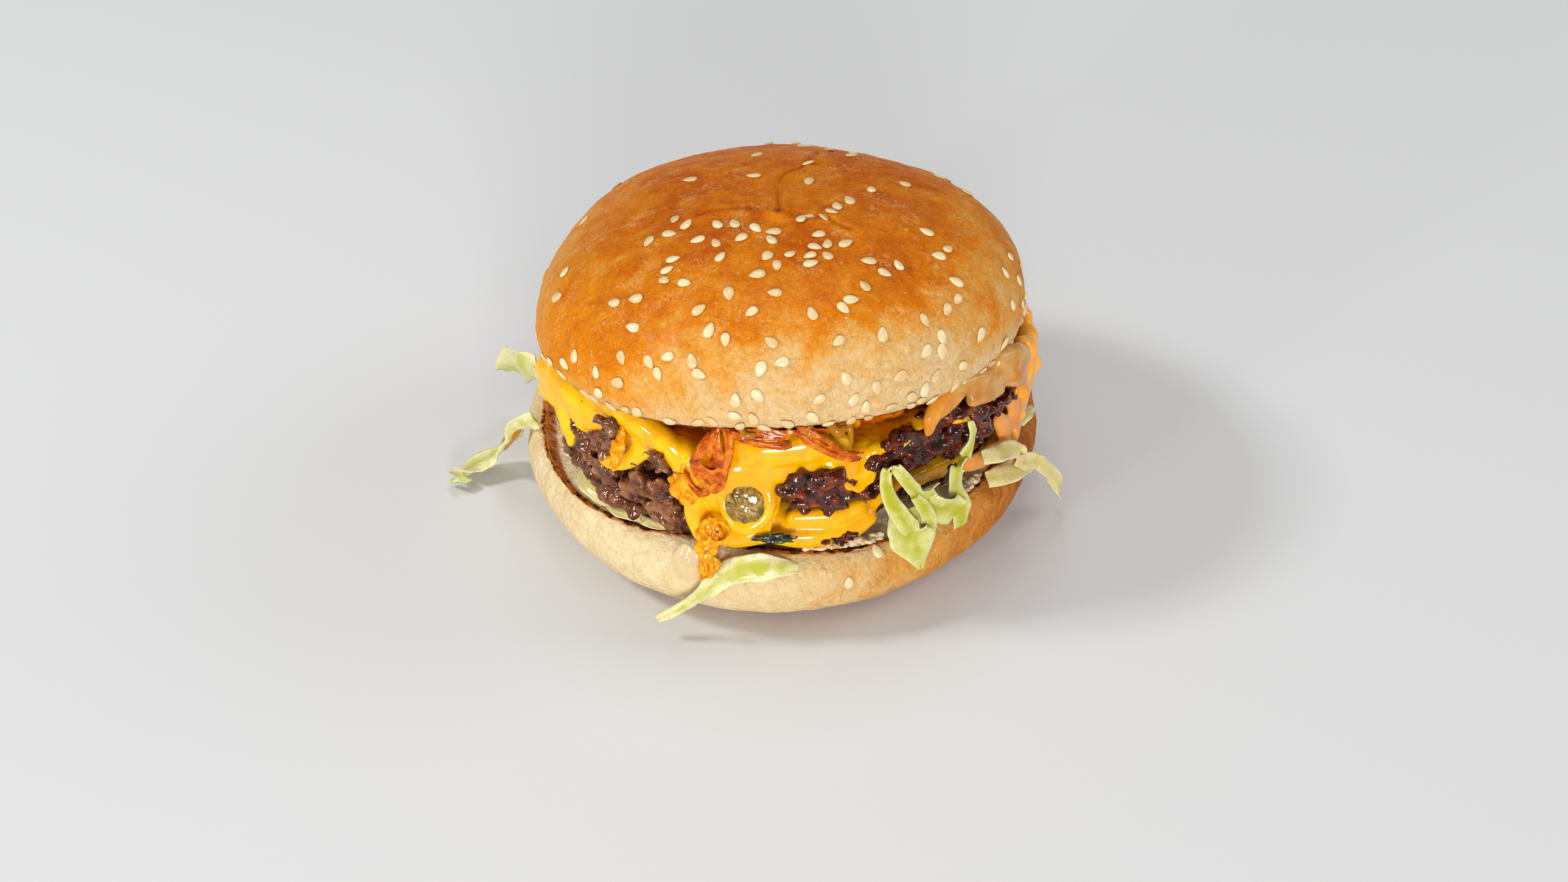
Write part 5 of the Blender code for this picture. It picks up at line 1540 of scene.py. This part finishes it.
FOLDED_LEAF = (
    (((26.2, 62.4, 33.6), (26.6, 63.4, 30.4), (27.2, 64.6, 26.4), (27.9, 65.9, 22.4), (27.9, 66.8, 18.2)),
     (7.0, 12.0, 11.5, 7.5, 1.0), (86, 84, 80, 74, 70), 0.7),
    (((35.4, 61.0, 36.0), (31.4, 62.2, 36.8), (28.4, 62.8, 38.8), (25.8, 62.4, 43.4), (23.8, 61.6, 46.6),
      (22.0, 61.6, 45.4), (22.1, 62.4, 40.4), (23.9, 63.6, 35.0), (27.0, 64.8, 29.2), (30.4, 64.8, 28.2),
      (30.6, 64.0, 32.2), (28.2, 63.2, 37.2)),
     (1.6, 2.6, 3.4, 3.0, 2.6, 2.6, 3.2, 4.4, 4.6, 4.2, 3.6, 2.4),
     (70, 60, 50, 40, 30, 60, 80, 70, 40, 30, 60, 70), 0.2),
    (((40.6, 63.4, 21.6), (41.0, 62.8, 26.4), (39.6, 62.4, 32.0), (39.9, 62.0, 37.2), (42.8, 61.6, 40.4),
      (45.4, 61.2, 44.2), (44.6, 61.0, 49.0)),
     (5.0, 5.4, 4.6, 3.8, 3.6, 3.0, 0.8), (60, 60, 50, 50, 60, 70, 80), 0.45),
    (((28.4, 62.6, 38.0), (30.6, 63.0, 35.0), (33.4, 63.2, 32.0), (36.6, 63.2, 29.0), (39.8, 63.4, 26.6)),
     (2.4, 6.0, 8.4, 8.6, 6.0), (60, 40, 20, 10, 10), 0.9),
)
# Second fold of the strip on the right: points, widths, leans, ruffle
STRIP_FOLD = (((50.0, 60.8, 34.4), (54.6, 62.2, 33.0), (59.6, 63.0, 30.8), (62.6, 64.0, 27.6),
               (60.0, 64.4, 25.4)), (3.2, 4.6, 4.4, 3.4, 2.0), (-50, -50, -45, -20, -50), 0.5)
# Shreds on the crumb under the left of the filling: points, widths
SHREDS = (
    (((-60, 56.0, 23.2), (-54, 57.4, 24.2), (-48, 57.2, 23.6), (-43, 55.6, 23.4)), (3.0, 4.0, 3.6, 1.6)),
    (((-47, 57.0, 22.9), (-41, 57.8, 24.0), (-36, 56.6, 23.8)), (2.2, 3.6, 2.0)),
    (((-38, 56.6, 23.0), (-32, 56.4, 23.6), (-27, 54.4, 23.2)), (2.0, 2.8, 1.2)),
)


def leaf_mesh(name, points, widths, leans, ruffle, steps=90, across=14, frill=0.35):
    """A thin wavy leaf along a path, with a frilled edge and veins."""
    path = spline([polar(a, r * MM, h * MM) for a, r, h in points], steps + 1)
    upper = []
    lower = []
    rib = []
    for k, spot in enumerate(path):
        place = k / steps
        ahead = (path[min(k + 1, steps)] - path[max(k - 1, 0)]).normalized()
        lean = math.radians(blend(leans, place))
        outward_way = Vector((spot.x, spot.y, 0)).normalized()
        level = Vector((0, 0, 1)).cross(outward_way)
        width_way = Vector((0, 0, 1)) * math.cos(lean)
        sideways = outward_way if abs(ahead.dot(level)) > 0.7 else level
        width_way = width_way + sideways * math.sin(lean)
        width_way = (width_way - ahead * width_way.dot(ahead)).normalized()
        face_way = ahead.cross(width_way).normalized()
        half = blend(widths, place) * MM / 2
        half *= 1 + 0.10 * noise.noise(spot / (3.5 * MM) + Vector((4, 0, 0)))
        for j in range(across + 1):
            share = 2 * j / across - 1
            wave = ruffle * MM * share * share * math.sin(9.0 * place * len(points) / 4 + 1.7 * share)
            middle = spot + width_way * half * share + face_way * wave
            curl = frill * MM * abs(share) ** 2.5 * noise.noise(middle / (2.1 * MM))
            vein = noise.noise(middle / (1.4 * MM) + Vector((0, 3, 0)))
            middle = middle + face_way * (curl + 0.10 * MM * vein)
            thick = LEAF_THICKNESS / 2 * (1 - 0.55 * share * share)
            upper.append(middle + face_way * thick)
            lower.append(middle - face_way * thick)
            rib.append(1 - abs(share))
    wide = across + 1
    count = len(upper)
    faces = []
    for k in range(steps):
        for j in range(across):
            a, b, c, d = k * wide + j, k * wide + j + 1, (k + 1) * wide + j + 1, (k + 1) * wide + j
            faces.append((a, b, c, d))
            faces.append((count + a, count + d, count + c, count + b))
    border = [*range(wide)] + [k * wide + across for k in range(1, steps + 1)]
    border += [steps * wide + j for j in range(across - 1, -1, -1)]
    border += [k * wide for k in range(steps - 1, 0, -1)]
    for a, b in zip(border, border[1:] + border[:1]):
        faces.append((a, count + a, count + b, b))
    mesh = bpy.data.meshes.new(name)
    mesh.from_pydata([tuple(point) for point in upper + lower], [], faces)
    mesh.attributes.new("rib", "FLOAT", "POINT").data.foreach_set("value", rib + rib)
    return outward(mesh)


def lettuce_finish(name, pale, green, share):
    """Crisp leaf: whitish border, yellow-green blade, fine veins and light that comes through."""
    look = Finish(name)
    cloud = look.mottle(6 * MM, 3.0, 0.55, 0.8)
    rib = look.painted("rib")
    level = (cloud - 0.5) * 2.0 + share + (rib - 0.5) * 0.7
    colour = look.mix(level.rising(0.1, 0.9), pale, green)
    vein = abs(look.mottle(7 * MM, 3.0, 0.5, 1.4) - 0.5)
    lines = 1 - vein.rising(0.004, 0.016)
    colour = look.mix(lines * 0.22, colour, tone(150, 152, 60))
    border = 1 - rib.rising(0.0, 0.35)
    colour = look.mix(border * 0.30, colour, tone(226, 222, 170))
    patch = look.mottle(3.0 * MM, 3.0, 0.55, 0.8).rising(0.48, 0.72)
    colour = look.mix(patch * 0.30, colour, green)
    wave = look.mottle(1.6 * MM, 3.0, 0.55, 0.6)
    return look.surface(colour, 0.36, [(wave, 0.35, 0.5 * MM), (lines, 0.2, 0.2 * MM)],
                        Subsurface_Weight=0.35, Subsurface_Radius=(0.8, 1.0, 0.3), Subsurface_Scale=1.2 * MM,
                        Coat_Weight=0.25, Coat_Roughness=0.10, Specular_IOR_Level=0.1)


def layer_mesh(name, title, radius, ragged, lobes, bumpy):
    """A thin layer with an uneven, lumpy edge."""
    level = level_of(name)
    around = 540
    rows = []
    for share, inset in ((0.0, 30), (0.0, 8), (0.05, 3), (0.2, 0.8), (0.5, 0), (0.8, 0.8), (0.95, 3),
                         (1.0, 8), (1.0, 30)):
        ring = []
        for i in range(around):
            angle = 360 * i / around
            edge = lobed(angle, radius, lobes) + ragged * noise.noise(polar(angle, 7.0, level))
            edge += 0.5 * ragged * noise.noise(polar(angle, 24.0, level))
            edge = min(max(edge, INNER_RADIUS + 0.5 * MM), heel_rim_radius(angle) - 3.4 * MM) - inset * MM
            spot = polar(angle, edge)
            low = boundary(level, spot.x, spot.y) + LAYER_GAP / 2
            high = boundary(level + 1, spot.x, spot.y) - LAYER_GAP / 2
            wave = bumpy * noise.noise(polar(angle, 30.0, share + edge / (5 * MM))) if inset < 8 else 0.0
            ring.append(Vector((spot.x, spot.y, low + (high - low) * share + wave)))
        rows.append(ring)
    return closed_rings(title, rows)


# Stage

# Lamps: name, place, side length (metres), power (watts)
LAMPS = (("key", (-0.90, -0.05, 0.95), 0.22, 7.0), ("fill", (0.05, -1.25, 0.32), 0.4, 11.4),
         ("spark", (-0.80, -0.85, 0.34), 0.12, 2.6), ("side", (1.10, 0.15, 0.70), 0.6, 4.2),
         ("top", (0.0, 0.35, 1.30), 0.6, 3.6))
LAMPS_AIM = Vector((0, 0, 0.03))
# The camera, fitted to the outlines of both buns and of the plate
VIEW_TARGET = Vector((0.485 * MM, -25.123 * MM, 29.1 * MM))
VIEW_DISTANCE = 520.4 * MM
VIEW_RISE = 39.52
VIEW_ROLL = -1.13


def stage():
    """Pale floor, soft light from the left, the front and above, and the photo's view."""
    floor_mesh = bpy.data.meshes.new("floor")
    floor_mesh.from_pydata([(-2, -2, 0), (2, -2, 0), (2, 2, 0), (-2, 2, 0)], [], [(0, 1, 2, 3)])
    floor = bpy.data.objects.new("floor", floor_mesh)
    bpy.context.scene.collection.objects.link(floor)
    look = Finish("floor_paper")
    floor.data.materials.append(look.surface(tone(212, 212, 212), 0.8))
    for name, place, size, power in LAMPS:
        lamp = bpy.data.lights.new(name, "AREA")
        lamp.shape = "SQUARE"
        lamp.size = size
        lamp.energy = power
        item = bpy.data.objects.new(name, lamp)
        item.location = place
        item.rotation_euler = (LAMPS_AIM - Vector(place)).to_track_quat("-Z", "Y").to_euler()
        bpy.context.scene.collection.objects.link(item)
    world = bpy.data.worlds.new("daylight")
    world.use_nodes = True
    sky = world.node_tree.nodes["Background"].inputs
    sky["Color"].default_value = (0.96, 0.98, 1.0, 1.0)
    sky["Strength"].default_value = 0.30
    bpy.context.scene.world = world
    bpy.context.scene.view_settings.view_transform = "Standard"
    rise = math.radians(VIEW_RISE)
    roll = math.radians(VIEW_ROLL)
    back = Vector((0, -math.cos(rise), math.sin(rise)))
    right = Vector((1, 0, 0))
    up = right.cross(-back)
    side = right * math.cos(roll) + up * math.sin(roll)
    upright = up * math.cos(roll) - right * math.sin(roll)
    camera = bpy.data.objects.new("camera", bpy.data.cameras.new("camera"))
    camera.data.lens = 50
    camera.data.sensor_width = 36
    view = Matrix((side, upright, back)).transposed().to_4x4()
    view.translation = VIEW_TARGET + back * VIEW_DISTANCE
    camera.matrix_world = view
    bpy.context.scene.collection.objects.link(camera)
    bpy.context.scene.camera = camera


# The burger

stage()
crown_piece(crust_finish())
seeds_piece(seed_finish())
crumbs = heel_finish()
heel_piece(crumbs)

relief = relief_tree()
mince = patty_finish()
lower = patty_piece("patty_lower", PATTY_LOWER_RADIUS, PATTY_LOWER_LOBES, 330, 21, LOWER_KNOBS,
                    mince, relief)
upper = patty_piece("patty_upper", PATTY_UPPER_RADIUS, PATTY_UPPER_LOBES, 380, 22, UPPER_KNOBS,
                    mince, relief)

field = drape_field([lower, upper])
cheese = cheese_finish()
cheese_piece("cheese_lower", "cheese_slice_lower", CHEESE_LOWER_RADIUS, CHEESE_LOWER_LOBES, CHEESE_LOWER_HEM,
             0.6 * MM, field, 0.5 * MM, runs(CHEESE_LOWER_RUNS), cheese)
cheese_piece("cheese_upper", "cheese_slice_upper", CHEESE_UPPER_RADIUS, CHEESE_UPPER_LOBES, CHEESE_UPPER_HEM,
             0.6 * MM, field, 1.4 * MM, runs(CHEESE_UPPER_RUNS) + gherkin_collar(), cheese)
char = [crumbly("char", place, (size * MM, 0.6 * size * MM, 0.45 * size * MM), 0.9, 0.3 * MM, detail=4)
        for *place, size in CHAR_FLAKES]
for flake in char:
    shade(flake, "left", lambda spot: 0.0)
    # The flakes take a low lump value, the dark end of the painted crease shade
    shade(flake, "lump", lambda spot: -0.4)
piece(joined("char_flakes", char), mince, "patty")

orange = sauce_finish("orange_sauce", tone(246, 172, 62), tone(236, 152, 36), 0.30, 0.2)
poured("sauce_lobes", sauce_beads(), 0.55 * MM, 6, orange, "sauce", "sauce")
cream = sauce_finish("cream_sauce", tone(202, 152, 84), tone(184, 118, 40), 0.24, 0.2)
poured("cream_sauce_run", runs(CREAM_RUNS), 0.45 * MM, 10, cream, "sauce")
tan = sauce_finish("tan_sauce", tone(222, 152, 56), tone(204, 126, 34), 0.24, 0.2)
poured("tan_sauce_run", runs(TAN_RUNS, 0.7), 0.4 * MM, 8, tan, "sauce")
peach = sauce_finish("peach_sauce", tone(228, 154, 74), tone(216, 130, 48), 0.30, 0.2)
poured("peach_sauce_run", runs(PEACH_RUNS, 0.5), 0.45 * MM, 10, peach, "sauce")
poured("glaze_drip", runs(GLAZE_RUNS, 0.32), 0.3 * MM, 8,
       glaze_finish("clear_glaze", tone(236, 212, 164), 0.4), "sauce")
honey = glaze_finish("amber_sauce", tone(186, 120, 2), 0.72)
poured("amber_glaze", runs(AMBER_RUNS, 0.42), 0.35 * MM, 6, honey, "sauce")
poured("honey_drops", runs(HONEY_DROPS), 0.25 * MM, 3, honey, "sauce")

amber = onion_finish("caramelised_onion", tone(190, 82, 0), tone(94, 27, 0))
for name, points in ONION_STRANDS.items():
    strand = strand_mesh(name + "_soft", points, STRAND_WIDTH * 0.62, STRAND_THICKNESS * 0.9)
    piece(strand, amber, "onion", name)
threads = melted(joined("onion_threads", bundle(ONION_BUNDLES, random.Random(8))), 0.26 * MM, 2)
threads.shade_smooth()
piece(threads, amber, "onion")
piece(layer_mesh("onion_bed", "onion_layer", *ONION_BED, 0.6 * MM), amber, "onion", "onion_bed")

crisp = crisp_finish()
for name, (place, size) in CRISPS.items():
    piece(crumbly(name + "_rough", place, size, 0.55, 0.30 * MM), crisp, "crispy_onion", name)
sliver = crumbly("crisp_sliver", (-38.3, 60.0, 45.6), (1.6 * MM, 4.6 * MM, 1.0 * MM), 0.5, 0.3 * MM)
foot = crumbly("crisp_foot", (-16.0, 62.9, 21.6), (2.4 * MM, 3.6 * MM, 1.3 * MM), 0.6, 0.35 * MM)
piece(joined("crisp_bits", [sliver, foot]), crisp, "crispy_onion")
ring = [(-14.4 + 3.1 * math.cos(2 * math.pi * k / 7), 61.2, 31.0 + 3.4 * math.sin(2 * math.pi * k / 7))
        for k in range(8)]
piece(strand_mesh("crisp_ring", ring, 1.5 * MM, 1.0 * MM), crisp, "crispy_onion")
angle, radius, height = GHERKIN_PLACE
across, tall, deep = GHERKIN_SIZE
piece(crumbly("gherkin_round", (angle, radius + 0.5, height), (across, tall, deep * 1.2), 0.16, 0.12 * MM),
      gherkin_finish(), "gherkin", "gherkin_slice")
angle, radius, height = PEPPER_PATH[len(PEPPER_PATH) // 2]
piece(crumbly("pepper_roasted", (angle, radius, height), (3.7 * MM, 0.95 * MM, 0.45 * MM), 0.9, 0.25 * MM),
      pepper_finish(), "pepper", "pepper_strip")

leaf = lettuce_finish("lettuce_leaf", tone(218, 212, 160), tone(188, 186, 70), 0.28)
folded = lettuce_finish("lettuce_blade", tone(206, 202, 130), tone(178, 174, 36), 0.38)
pale = lettuce_finish("lettuce_heart", tone(220, 202, 148), tone(204, 190, 104), 0.3)
for name, (points, widths, leans, ruffle) in LETTUCE.items():
    blades = [leaf_mesh(name + "_leaf", points, widths, leans, ruffle)]
    if name == "lettuce_strip_right":
        blades.append(leaf_mesh("fold_leaf", *STRIP_FOLD, 50, 8))
    piece(joined(name + "_leaf", blades), pale if len(blades) > 1 else leaf, "lettuce", name)
folds = [leaf_mesh("fold", points, widths, leans, ruffle, 30 * len(points) // 2, 10)
         for points, widths, leans, ruffle in FOLDED_LEAF]
piece(joined("lettuce_folded_leaf", folds), folded, "lettuce", "lettuce_folded")
under = lettuce_finish("lettuce_under", tone(232, 220, 150), tone(212, 200, 92), 0.4)
piece(layer_mesh("lettuce_bed", "lettuce_layer", *LETTUCE_BED, 0.5 * MM), under, "lettuce", "lettuce_bed")
shreds = [leaf_mesh("shred", points, widths, (-60,) * 2, 0.6, 50, 8) for points, widths in SHREDS]
piece(joined("lettuce_shreds", shreds), pale, "lettuce")

torn = []
draw = random.Random(4)
for k in range(190):
    angle = draw.choice((draw.uniform(4, 23), draw.uniform(4, 23), draw.uniform(46, 56)))
    size = draw.uniform(0.3, 0.85) * MM
    torn.append((polar(angle, heel_rim_radius(angle) - draw.uniform(0.9, 3.0) * MM, HEEL_RIM_HEIGHT - 0.8 * MM
                       + draw.uniform(0, 1.1) * MM), size, (1.5, 1.0, 0.8), draw.uniform(0, 3)))
bread = melted(balls("torn_crumb", torn), 0.22 * MM, 1)
bread.shade_smooth()
for name, value in (("bake", 0.0), ("toast", 0.0), ("crumb", 1.0)):
    shade(bread, name, lambda spot: value)
piece(bread, crumbs, "pale_crust")
